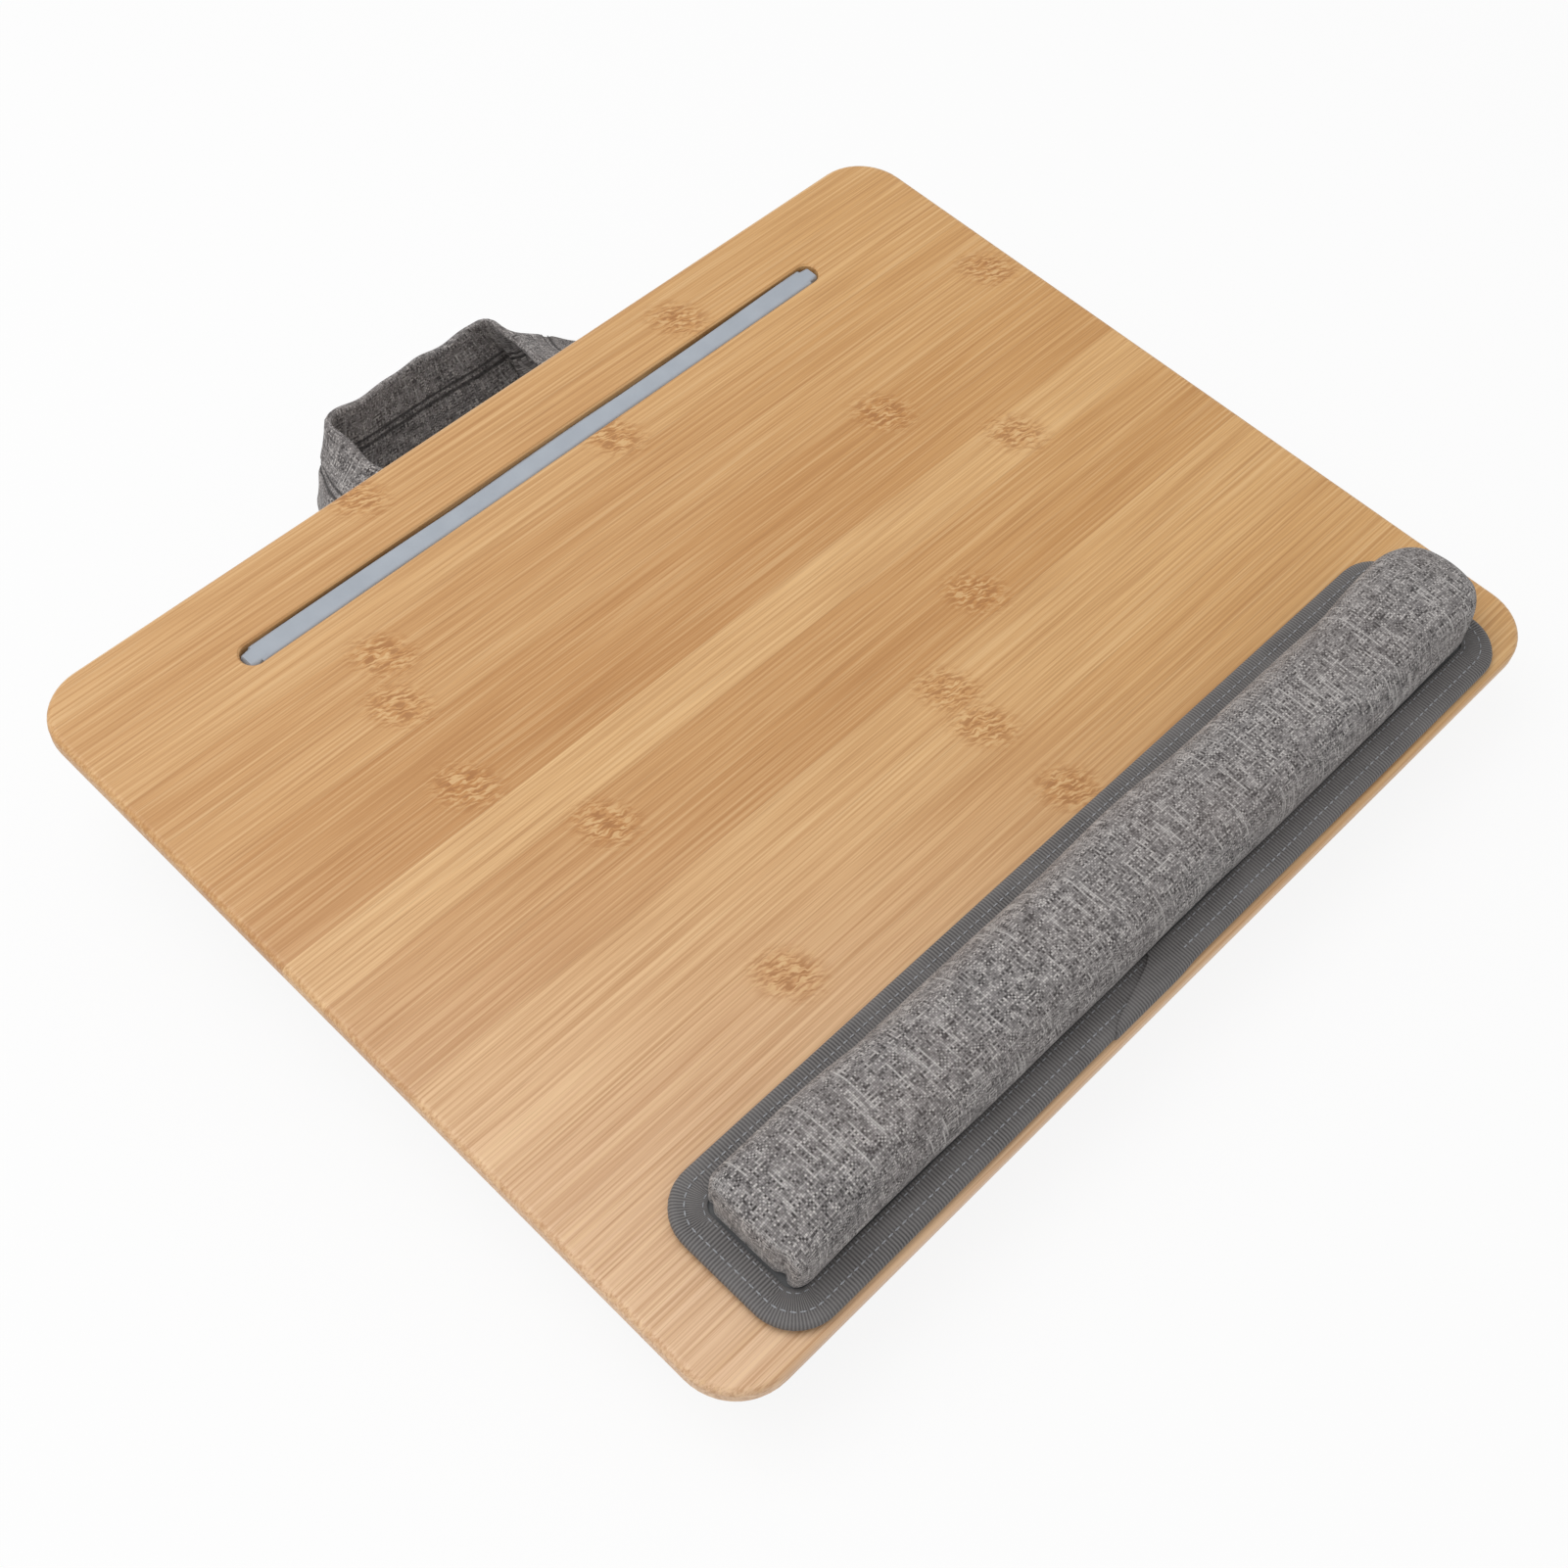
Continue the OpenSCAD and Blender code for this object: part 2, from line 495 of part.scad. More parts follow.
// The roll's cover is open below, where its edge is sewn down on the base. It has an outer
// and an inner face, each made of sections and two end fans, joined along that edge
function roll_face(wall) =
    let (rings = [for (x = roll_stations(wall)) roll_section(x, wall, wall, 0, over_angles)],
        last = len(over_angles) - 1)
    concat([for (r = rings) each r],
        [for (r = [rings[0], rings[len(rings) - 1]]) (r[0] + r[last]) / 2]);
module rest_roll_cover() color("#8c8a88") on_rest() {
    outer = roll_face(0);
    inner = roll_face(roll_cloth_t);
    n = len(over_angles);
    count = len(roll_stations(0));
    total = len(outer);
    left = n * count;
    right = left + 1;
    skin = concat([for (i = [0:count - 2]) for (k = [0:n - 2])
            let (a = i * n + k)
            each [[a, a + 1, a + 1 + n], [a, a + 1 + n, a + n]]],
        [for (k = [0:n - 2]) [k + 1, k, left]],
        [for (k = [0:n - 2]) [(count - 1) * n + k, (count - 1) * n + k + 1, right]]);
    seam = concat([for (i = [0:count - 1]) i * n], [right], [for (i = [count - 1:-1:0]) i * n + n - 1], [left]);
    m = len(seam);
    polyhedron(concat(outer, inner),
        concat(skin, [for (f = skin) [f[2] + total, f[1] + total, f[0] + total]],
            [for (k = [0:m - 1])
                let (a = seam[k], b = seam[(k + 1) % m])
                each [[a, b, b + total], [a, b + total, a + total]]]), convexity = 6);
}
module rest_foam_core() color("#e6e2d6") on_rest()
    sweep([for (x = roll_stations(roll_cloth_t + soft_gap))
        roll_section(x, roll_cloth_t + soft_gap, soft_gap, soft_gap, round_angles)]);

// The panel that faces the board, with the roll of padding that swells into the slot
swell_r = slot_w / 2 - 0.3;
module slot_swelling() intersection() {
    translate([0, slot_y, board_bottom + slot_swell - swell_r]) {
        rotate([0, 90, 0]) cylinder(h = slot_length - slot_w, r = swell_r, center = true);
        for (x = [-1, 1]) translate([x * (slot_length - slot_w) / 2, 0, 0]) sphere(swell_r);
    }
    translate([-slot_length, slot_y - slot_w, panel_top - panel_t / 2])
        cube([2 * slot_length, 2 * slot_w, board_t + 2 * strip_t]);
}
module cushion_top_panel() color("#a9b0b8") on_board() {
    translate([0, 0, panel_bottom]) linear_extrude(panel_t) polygon(outline_points(0));
    slot_swelling();
}

// Notches in the side band let the strap's ends into the seam
module strap_ends(clearance) for (side = [-1, 1])
    translate([side > 0 ? handle_x - clearance : -handle_x - strap_w - clearance,
        strap_outline_y - tab_length - clearance, tab_z - tab_t / 2 - clearance])
        cube([strap_w + 2 * clearance, tab_length + hinge_gap + 2 * clearance, tab_t + 2 * clearance]);
module cushion_side_band() color("#8c8a88") on_board() difference() {
    translate([0, 0, seam_level]) linear_extrude(band_h) difference() {
        polygon(outline_points(0));
        polygon(outline_points(band_t));
    }
    strap_ends(tab_gap);
}
module cushion_foam_sheet() color("#e6e2d6") on_board()
    translate([0, 0, tab_z + tab_t / 2 + tab_gap])
        linear_extrude(panel_bottom - tab_z - tab_t / 2 - tab_gap) polygon(outline_points(band_t + soft_gap));

module bolster_cover() color("#8c8a88") standing()
    polyhedron(concat(cover_grid(0), cover_grid(cover_t)), cover_faces(), convexity = 6);
module front_bolster_filling() color("#efece6") standing() filling(-1);
module rear_bolster_filling() color("#efece6") standing() filling(1);

module handle_sewn_ends() color("#7f7d7b") on_board() strap_ends(0);
module handle_strap_cover() color("#7f7d7b") on_board() {
    outer = strap_rings(0);
    inner = strap_rings(strap_cloth_t);
    n = len(outer[0]);
    count = len(outer);
    total = n * count;
    polyhedron(concat([for (r = outer) each r], [for (r = inner) each r]),
        concat(sweep_sides(count, n, strap_turn),
            [for (f = sweep_sides(count, n, strap_turn)) [f[2] + total, f[1] + total, f[0] + total]],
            [for (i = [0:n - 1]) let (j = (i + 1) % n)
                each [[i, total + i, total + j], [i, total + j, j]]],
            [for (i = [0:n - 1]) let (a = total - n + i, b = total - n + (i + 1) % n)
                each [[a, b, total + b], [a, total + b, total + a]]]), convexity = 6);
}
module handle_webbing_core() color("#4a4a4b") on_board() sweep(strap_rings(strap_cloth_t + webbing_gap), strap_turn);

desk_board();
board_hook_strips();
rest_hook_strips();
rest_loop_strips();
rest_base_sheet();
rest_binding_tape();
rest_roll_cover();
rest_foam_core();
cushion_loop_strips();
cushion_top_panel();
cushion_side_band();
cushion_foam_sheet();
bolster_cover();
front_bolster_filling();
rear_bolster_filling();
handle_sewn_ends();
handle_strap_cover();
handle_webbing_core();
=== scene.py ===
# %% [markdown]
# # A lap desk with a bamboo board, a padded wrist rest and a wedge cushion
# The desk is a thin bamboo board that lies on a cushion of two stuffed bolsters. The hard parts
# come from the imported model and only get a finish here. Everything that is cloth or padding is
# modelled again, because cloth needs soft edges, seams and small folds that a plain solid lacks.
# The imported model is loaded first.

# %% Load the imported model
import math

import bpy
import numpy as np
from mathutils import Matrix, Vector


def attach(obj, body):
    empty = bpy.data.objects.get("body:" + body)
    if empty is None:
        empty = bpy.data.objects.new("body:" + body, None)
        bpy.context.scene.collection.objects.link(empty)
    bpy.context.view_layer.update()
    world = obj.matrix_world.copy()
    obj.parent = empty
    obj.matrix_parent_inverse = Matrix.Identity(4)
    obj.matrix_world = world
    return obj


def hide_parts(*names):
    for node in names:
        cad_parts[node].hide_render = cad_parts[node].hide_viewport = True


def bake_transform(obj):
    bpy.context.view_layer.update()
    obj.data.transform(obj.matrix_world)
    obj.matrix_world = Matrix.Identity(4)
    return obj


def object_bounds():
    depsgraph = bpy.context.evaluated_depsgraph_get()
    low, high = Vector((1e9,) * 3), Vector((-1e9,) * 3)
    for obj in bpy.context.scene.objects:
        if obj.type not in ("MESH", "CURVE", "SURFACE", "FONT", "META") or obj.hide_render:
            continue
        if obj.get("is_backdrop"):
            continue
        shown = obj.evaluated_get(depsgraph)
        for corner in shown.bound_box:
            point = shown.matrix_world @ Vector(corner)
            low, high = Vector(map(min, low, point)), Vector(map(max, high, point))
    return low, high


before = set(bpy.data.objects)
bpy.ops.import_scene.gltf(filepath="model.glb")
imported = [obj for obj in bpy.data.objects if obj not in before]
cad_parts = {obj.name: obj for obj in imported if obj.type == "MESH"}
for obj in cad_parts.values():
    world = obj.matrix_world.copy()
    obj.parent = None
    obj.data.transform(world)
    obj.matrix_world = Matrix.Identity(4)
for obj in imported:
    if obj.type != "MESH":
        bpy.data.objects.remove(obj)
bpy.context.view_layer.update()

# %% [markdown]
# ## Where things are
# The board leans 5 degrees towards the person who uses it. It is easier to model on a level board,
# so each piece is made in the board's own frame: X to the right, Y to the rear, Z up, with zero in
# the middle of the board's upper face. One function then leans the finished piece and lifts it to
# its place. Lengths are written in millimetres and multiplied by MM, because Blender counts metres.

# %% The board's frame
MM = 0.001
LEAN = math.radians(5)
LIFT = (0.0, -26.262 * MM, 54.438 * MM)


def only(piece):
    """Leaves edit mode and selects this piece alone."""
    if bpy.context.mode != "OBJECT":
        bpy.ops.object.mode_set(mode="OBJECT")
    bpy.ops.object.select_all(action="DESELECT")
    if piece is not None:
        piece.select_set(True)
        bpy.context.view_layer.objects.active = piece


def lean(piece):
    """Moves a piece from the board's frame to its place, and keeps the place in its mesh."""
    only(piece)
    piece.rotation_euler = (LEAN, 0, 0)
    piece.location = LIFT
    bpy.ops.object.transform_apply(location=True, rotation=True, scale=True)


# %% [markdown]
# ## Helpers for modelling by hand in code
# By hand one would click edges and drag points. In code the edges and faces are picked by their
# place or direction, then the same edit mode operators run on them. Moving every point of a mesh
# at once is what a sculptor does with broad strokes, and it is quickest with arrays of numbers.

# %% Points, edges and faces
def points(piece):
    co = np.zeros(len(piece.data.vertices) * 3)
    piece.data.vertices.foreach_get("co", co)
    return co.reshape(-1, 3)


def set_points(piece, co):
    piece.data.vertices.foreach_set("co", np.ascontiguousarray(co, dtype=np.float32).ravel())
    piece.data.update()


def normals(piece):
    """The direction of each face."""
    normal = np.zeros(len(piece.data.polygons) * 3)
    piece.data.polygons.foreach_get("normal", normal)
    return normal.reshape(-1, 3)


def pick(piece, kind, test):
    """Opens edit mode with only those edges or faces selected that pass a test on their middle
    and their direction (the normal, for a face)."""
    only(piece)
    bpy.ops.object.mode_set(mode="EDIT")
    bpy.ops.mesh.select_mode(type=kind)
    bpy.ops.mesh.select_all(action="DESELECT")
    bpy.ops.object.mode_set(mode="OBJECT")
    mesh, co = piece.data, points(piece)
    if kind == "EDGE":
        ends = np.zeros(len(mesh.edges) * 2, int)
        mesh.edges.foreach_get("vertices", ends)
        ends = ends.reshape(-1, 2)
        run = co[ends[:, 1]] - co[ends[:, 0]]
        run /= np.maximum(np.linalg.norm(run, axis=1, keepdims=True), 1e-12)
        chosen = test(co[ends].mean(axis=1), run)
        mesh.edges.foreach_set("select", chosen)
        touched = np.unique(ends[chosen])
    else:
        centre = np.zeros(len(mesh.polygons) * 3)
        mesh.polygons.foreach_get("center", centre)
        chosen = test(centre.reshape(-1, 3), normals(piece))
        mesh.polygons.foreach_set("select", chosen)
        touched = np.unique([v for f in np.flatnonzero(chosen) for v in mesh.polygons[f].vertices])
    flags = np.zeros(len(mesh.vertices), bool)
    flags[touched.astype(int)] = True
    mesh.vertices.foreach_set("select", flags)
    bpy.ops.object.mode_set(mode="EDIT")
    return int(chosen.sum())


def cut_along(piece, axis, cuts):
    """Cuts a box into slices across one axis."""
    pick(piece, "EDGE", lambda middle, run: np.abs(run[:, axis]) > 0.99)
    bpy.ops.mesh.subdivide(number_cuts=cuts)
    only(piece)


def box(name, low, high, cuts=(0, 0, 0)):
    """A box between two corners, in millimetres, cut into slices along X, Y and Z."""
    only(None)
    low, high = np.array(low, float) * MM, np.array(high, float) * MM
    bpy.ops.mesh.primitive_cube_add(size=1, location=(low + high) / 2, scale=high - low)
    piece = bpy.context.object
    piece.name = piece.data.name = name
    bpy.ops.object.transform_apply(location=True, rotation=True, scale=True)
    for axis, count in enumerate(cuts):
        if count:
            cut_along(piece, axis, count)
    return piece


def cloth_grid(name, across, along):
    """A flat square sheet from -1 to 1, which is then drawn into shape."""
    only(None)
    bpy.ops.mesh.primitive_grid_add(x_subdivisions=across, y_subdivisions=along, size=2)
    piece = bpy.context.object
    piece.name = piece.data.name = name
    return piece


# %% Finishing moves that many pieces share
def add_modifier(piece, kind, **settings):
    """Adds a modifier, sets it and applies it."""
    only(piece)
    modifier = piece.modifiers.new(kind.title(), kind)
    for key, value in settings.items():
        setattr(modifier, key, value)
    bpy.ops.object.modifier_apply(modifier=modifier.name)


def smooth(piece, angle=None):
    only(piece)
    if angle is None:
        bpy.ops.object.shade_smooth()
    else:
        bpy.ops.object.shade_smooth_by_angle(angle=math.radians(angle))


def clean(piece):
    """Merges points that meet and turns every face outwards."""
    only(piece)
    bpy.ops.object.mode_set(mode="EDIT")
    bpy.ops.mesh.select_all(action="SELECT")
    bpy.ops.mesh.remove_doubles(threshold=0.01 * MM)
    bpy.ops.mesh.normals_make_consistent(inside=False)
    only(piece)


def join(pieces, name):
    only(pieces[0])
    for piece in pieces:
        piece.select_set(True)
    bpy.context.view_layer.objects.active = pieces[0]
    bpy.ops.object.join()
    pieces[0].name = pieces[0].data.name = name
    return pieces[0]


def write_uv(piece, uv):
    """Stores where each corner of each face lies on the flat cloth, in metres."""
    layer = piece.data.uv_layers.new(name="cloth")
    layer.data.foreach_set("uv", np.ascontiguousarray(uv, dtype=np.float32).ravel())


def corners(piece):
    """For each face corner: its point and its face."""
    mesh = piece.data
    point, totals = np.zeros(len(mesh.loops), int), np.zeros(len(mesh.polygons), int)
    mesh.loops.foreach_get("vertex_index", point)
    mesh.polygons.foreach_get("loop_total", totals)
    return point, np.repeat(np.arange(len(totals)), totals)


def lay(piece, place, flat):
    """Lays a cloth: each point goes to its place and keeps where it lies on the flat cloth. Both
    are in millimetres."""
    point, _ = corners(piece)
    write_uv(piece, flat[point] * MM)
    set_points(piece, place * MM)


def unfold(piece):
    """Unfolds the cover of a box: its sides lie flat round the top, as they would be cut."""
    co = points(piece)
    low, high = co.min(axis=0), co.max(axis=0)
    point, face = corners(piece)
    p, n = co[point], normals(piece)[face]
    drop = high[2] - p[:, 2]
    flat = [np.where(n[:, k] < -0.7, low[k] - drop, np.where(n[:, k] > 0.7, high[k] + drop, p[:, k]))
            for k in (0, 1)]
    write_uv(piece, np.column_stack(flat))


def rounded(co, low, high, radii):
    """Rounds a box's edges. The radii are for the low and high side of each axis."""
    low, high, radii = np.array(low), np.array(high), np.array(radii)
    inner = np.clip(co, low + radii[0], high - radii[1])
    away = co - inner
    share = away / np.where(away < 0, radii[0], radii[1])
    return inner + away / np.maximum(np.linalg.norm(share, axis=1, keepdims=True), 1)


def ease(t):
    """Goes softly from 0 to 1 as t does."""
    t = np.clip(t, 0, 1)
    return t * t * (3 - 2 * t)


def near(values, middle, wide):
    """1 at a place, and softly down to nothing about twice this width away."""
    return np.exp(-(((values - middle) / wide) ** 2))


def lengths(line):
    """How far along a line of points each of them is."""
    return np.concatenate([[0], np.cumsum(np.linalg.norm(np.diff(line, axis=0), axis=1))])


# %% [markdown]
# ## Real cloth swells
# A stuffed cover isn't a plain curved surface: air or filling pushes it out, the seams hold it in,
# and small folds appear between the two. Blender's cloth simulation does that. The piece starts a
# little small, its seams are pinned, pressure fills it for twenty frames, and the result is kept.
# No point may go further than a cap, so the piece stays in its place.

# %% Puff a padded piece with a cloth simulation
PUFF_FRAMES = 20


def puff(piece, pinned, pressure, cap, stiffness=12.0, bending=0.6):
    """Pressure fills the piece. Its pinned points stay, and no point moves more than cap mm."""
    before = points(piece)
    group = piece.vertex_groups.new(name="sewn")
    group.add([int(i) for i in np.flatnonzero(pinned)], 1.0, "REPLACE")
    only(piece)
    cloth = piece.modifiers.new("Puff", "CLOTH")
    facts = cloth.settings
    facts.quality = 5
    facts.mass = 0.3
    facts.tension_stiffness = facts.compression_stiffness = stiffness
    facts.shear_stiffness = stiffness / 2
    facts.bending_stiffness = bending
    facts.use_pressure = True
    facts.uniform_pressure_force = pressure
    facts.vertex_group_mass = "sewn"
    facts.effector_weights.gravity = 0
    cloth.collision_settings.use_collision = False
    cloth.point_cache.frame_start, cloth.point_cache.frame_end = 1, PUFF_FRAMES
    for number in range(1, PUFF_FRAMES + 1):
        bpy.context.scene.frame_set(number)
    bpy.ops.object.modifier_apply(modifier=cloth.name)
    bpy.context.scene.frame_set(1)
    moved = points(piece) - before
    far = np.linalg.norm(moved, axis=1, keepdims=True)
    set_points(piece, before + moved * np.minimum(1, cap * MM / np.maximum(far, 1e-9)))
    piece.vertex_groups.clear()
    print(piece.name, "swelled by up to", round(float(far.max()) / MM, 2), "mm, capped at", cap)


# %% [markdown]
# ## The wrist rest's roll
# A foam roll lies along the front of the board in a cover of heathered cloth. Its left end is
# folded like a parcel, with upright seams at its corners, and its right end is round and swells
# over the tape. It could be a squashed cylinder, but then the folded end would be wrong. So it
# starts as a box cut into small squares. The cover is unfolded first, while the box is still a
# box, so that the weave runs true, and then the edges are rounded and the right end drawn round.

# %% Shape the roll
REST_X, REST_Y = 3.0, -138.75
ROLL_LEFT, ROLL_RIGHT, ROLL_TOP, BASE_TOP = -171.5, 189.0, 25.2, 4.1
ROLL_Y, ROLL_HALF = REST_Y + 0.7, 20.6
ROUND_END, FOOT_IN = 20, 2.0
roll_low = (ROLL_LEFT, ROLL_Y - ROLL_HALF, BASE_TOP)
roll_high = (ROLL_RIGHT, ROLL_Y + ROLL_HALF, ROLL_TOP)

roll = box("rest_roll", roll_low, roll_high, (118, 24, 11))
unfold(roll)
p = points(roll) / MM
p = rounded(p, roll_low, roll_high, [(2.4, 6.5, 1.3), (9.5, 9.0, 8.0)])
# the right end is drawn into a half circle
end_from = ROLL_RIGHT - ROUND_END
far = np.clip((p[:, 0] - end_from) / ROUND_END, 0, 1)
side = np.clip((p[:, 1] - ROLL_Y) / ROLL_HALF, -1, 1)
p[:, 0] = np.where(far > 0, end_from + ROUND_END * far * np.sqrt(1 - side**2 / 2), p[:, 0])
p[:, 1] = ROLL_Y + ROLL_HALF * side * np.sqrt(1 - far**2 / 2)
# the foot keeps clear of the tape's inner edges, and the sides wander a little
height = np.clip((p[:, 2] - BASE_TOP) / 10, 0, 1)
foot_half = ROLL_HALF - FOOT_IN * np.clip((BASE_TOP + 1.3 - p[:, 2]) / 0.9, 0, 1)
p[:, 1] = ROLL_Y + np.clip(p[:, 1] - ROLL_Y, -foot_half, foot_half)
wander = 0.45 * np.sin(p[:, 0] / 23 + 0.8) + 0.25 * np.sin(p[:, 0] / 11.3)
p[:, 1] += np.where(height > 0.2, wander, 0)
p[:, 2] += (0.4 * np.sin(p[:, 0] / 31 + 1) + 0.25 * np.sin(p[:, 0] / 13 + p[:, 1] / 9)) * height
# the right end has lifted off its base, and so has the front edge here and there
along = (p[:, 0] - ROLL_LEFT) / (ROLL_RIGHT - ROLL_LEFT)
front = np.clip((ROLL_Y - p[:, 1]) / ROLL_HALF, 0, 1)
front_lift = 1.0 * ease((along - 0.62) / 0.3) + 0.7 * near(p[:, 0], -62, 34)
p[:, 2] += 2.2 * ease((along - 0.72) / 0.28) + front_lift * front * (1 - height)
set_points(roll, p * MM)
print(roll.name, len(roll.data.polygons), "faces before it is puffed")

# %% Puff the roll, then sew its folded corners
p = points(roll) / MM
puff(roll, (p[:, 2] < BASE_TOP + 2.6) | (p[:, 0] < ROLL_LEFT + 0.6), pressure=3.0, cap=1.6)
p = points(roll) / MM
across = (p[:, 1] - ROLL_Y) / ROLL_HALF
up = (p[:, 2] - BASE_TOP) / (ROLL_TOP - BASE_TOP)
inwards = np.maximum(p[:, 0] - ROLL_LEFT, 0)
# the front corner is a round lobe beside an upright seam, and the rear one has a small tuck
p[:, 1] -= 1.2 * near(across, -0.86, 0.22) * near(inwards, 0, 9) * np.clip(up * 4, 0, 1)
for where, wide, depth, low in ((-0.66, 0.055, 3.0, 0.55), (0.80, 0.06, 2.2, 0.0)):
    upright = low + (1 - low) * np.clip(1.15 - up * 1.5, 0, 1)
    p[:, 0] += depth * near(across, where, wide) * near(inwards, 0, 5) * upright
# the top of the folded end bulges, and a soft crease runs in from its corners
inwards = np.maximum(p[:, 0] - ROLL_LEFT, 0)
p[:, 0] -= 1.2 * near(up, 0.62, 0.3) * near(across, 0, 0.7) * near(inwards, 0, 4)
p[:, 2] -= 0.7 * near(np.abs(across), 0.62, 0.12) * near(p[:, 0] - ROLL_LEFT, 9, 7)
set_points(roll, p * MM)
add_modifier(roll, "SUBSURF", levels=1, render_levels=1)
smooth(roll)
lean(roll)
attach(roll, "wrist_rest")
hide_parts("rest_roll_cover", "rest_foam_core")
print(roll.name, len(roll.data.polygons), "faces")

# %% [markdown]
# ## The stiffened sheet under the roll
# The roll is sewn to a flat sheet of stiffened cloth with round corners. A box with its upright
# edges bevelled makes it. Little of it shows once the tape covers its edge.

# %% Make the base sheet
REST_LONG, REST_WIDE, REST_CORNER, UNDER_TAPE = 374.0, 63.5, 17.0, 0.75
half_long, half_wide = REST_LONG / 2 - UNDER_TAPE, REST_WIDE / 2 - UNDER_TAPE
base = box("rest_base", (REST_X - half_long, REST_Y - half_wide, 1.6),
           (REST_X + half_long, REST_Y + half_wide, 4.0))
pick(base, "EDGE", lambda middle, run: np.abs(run[:, 2]) > 0.99)
bpy.ops.mesh.bevel(offset=(REST_CORNER - UNDER_TAPE) * MM, segments=14)
pick(base, "FACE", lambda middle, normal: np.abs(normal[:, 2]) > 0.99)
bpy.ops.mesh.inset(thickness=4 * MM)
only(base)
unfold(base)
smooth(base, 40)
lean(base)
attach(base, "wrist_rest")
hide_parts("rest_base_sheet")
print(base.name, len(base.data.polygons), "faces")

# %% [markdown]
# ## The ribbed tape round the sheet
# A ribbed tape is folded over the sheet's edge and runs all the way round. Its ends lap at the
# front, and the upper end is cut on a slant. A tape like this is a strip: its length follows a
# path, and its width follows a small section that goes over the top, round the edge and back
# underneath. The strip starts as a flat grid, and each of its points is laid on path and section.

# %% Walk round a rectangle with round corners
CORNER_STEPS = 16


def round_path(long, wide, corner):
    """Points and outward directions, from the middle of the front side towards the left."""
    rows = [((0, -wide / 2), (0, -1))]
    for k, (x, y) in enumerate(((-1, -1), (-1, 1), (1, 1), (1, -1))):
        first = (270, 180, 90, 0)[k]
        middle = (x * (long / 2 - corner), y * (wide / 2 - corner))
        for step in range(CORNER_STEPS + 1):
            a = math.radians(first - 90 * step / CORNER_STEPS)
            ox, oy = math.cos(a), math.sin(a)
            rows.append(((middle[0] + corner * ox, middle[1] + corner * oy), (ox, oy)))
    rows.append(((0, -wide / 2), (0, -1)))
    place, outward = np.array([r[0] for r in rows]), np.array([r[1] for r in rows])
    return lengths(place), place, outward


def on_path(path, s):
    """The place and the outward direction at a run s, which may go round more than once."""
    run, place, outward = path
    s = np.mod(s, run[-1])
    x, y = (np.interp(s, run, place[:, k]) for k in (0, 1))
    ox, oy = (np.interp(s, run, outward[:, k]) for k in (0, 1))
    size = np.hypot(ox, oy)
    return x, y, ox / size, oy / size


# %% Lay the tape
TAPE_FLAT, TAPE_BEND, TAPE_MID = 10.1, 1.55, 2.8
TAPE_START, LAP, SLANT = 8, 10, 30
TAPE_AROUND = 2 * TAPE_FLAT + math.pi * TAPE_BEND
rest_path = round_path(REST_LONG, REST_WIDE, REST_CORNER)
whole_way = rest_path[0][-1]

tape = cloth_grid("rest_tape", 300, 20)
p = points(tape)
width = (p[:, 1] + 1) / 2 * TAPE_AROUND
last = whole_way + LAP + SLANT * ease(width / 12)
s = TAPE_START + (p[:, 0] + 1) / 2 * (last - TAPE_START)
x, y, ox, oy = on_path(rest_path, s)
bend = np.clip((width - TAPE_FLAT) / TAPE_BEND, 0, math.pi)
past_bend = np.maximum(width - TAPE_FLAT - math.pi * TAPE_BEND, 0)
inset = 1.9 + np.maximum(TAPE_FLAT - width, 0) + past_bend
outward, upward = np.sin(bend), np.cos(bend)
# the lapping end lies on the first one, and the tape puckers at its corners
over = 0.75 * ease((s - whole_way + 4) / 14)
corner = near(np.mod(s, whole_way), whole_way - 206, 12)
pucker = 0.10 * np.sin(s / 2.9) * ease((TAPE_FLAT + 2 - width) / 6)
pucker += 0.55 * corner * np.maximum(np.sin(s / 1.55), 0) * ease((TAPE_FLAT + 1 - width) / 8)
swell = TAPE_BEND + over + pucker + 0.03
place = np.column_stack([
    REST_X + x + ox * (swell * outward - inset),
    REST_Y + y + oy * (swell * outward - inset),
    TAPE_MID + swell * upward])
lay(tape, place, np.column_stack([s, width]))
clean(tape)
add_modifier(tape, "SOLIDIFY", thickness=0.6 * MM, offset=0)
smooth(tape, 50)
lean(tape)
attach(tape, "wrist_rest")
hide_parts("rest_binding_tape")
print(tape.name, "runs", round(whole_way), "mm round the sheet,", len(tape.data.polygons), "faces")

# %% [markdown]
# ## Stitches
# A stitch is a short thread that dips into the cloth at both ends. One is modelled, from a small
# sphere drawn long, an array repeats it, and each copy is laid on its place along the seam. Bump
# alone would look painted on from close by, and real stitches catch the light.

# %% Sew a row of stitches
def sew(name, line, upward, length, pitch, thick):
    """Stitches along a line of points, in millimetres, lying on the side that upward shows."""
    only(None)
    bpy.ops.mesh.primitive_uv_sphere_add(segments=6, ring_count=5, radius=0.5)
    row = bpy.context.object
    row.name = row.data.name = name
    shape = points(row)[:, [2, 0, 1]] * [length, thick * 1.5, thick]
    run = lengths(line)
    where = np.arange(pitch, run[-1] - pitch / 2, pitch)
    add_modifier(row, "ARRAY", count=len(where), use_relative_offset=True)
    at, ahead, up = (np.column_stack([np.interp(far, run, rows[:, k]) for k in range(3)])
                     for far, rows in ((where, line), (where + length / 2, line), (where, upward)))
    along = ahead - at
    along /= np.linalg.norm(along, axis=1, keepdims=True)
    up -= along * (up * along).sum(axis=1, keepdims=True)
    up /= np.linalg.norm(up, axis=1, keepdims=True)
    turn = np.stack([along, np.cross(up, along), up], axis=1)
    set_points(row, (at[:, None] + shape @ turn).reshape(-1, 3) * MM)
    smooth(row)
    print(name, len(where), "stitches,", len(row.data.polygons), "faces")
    return row


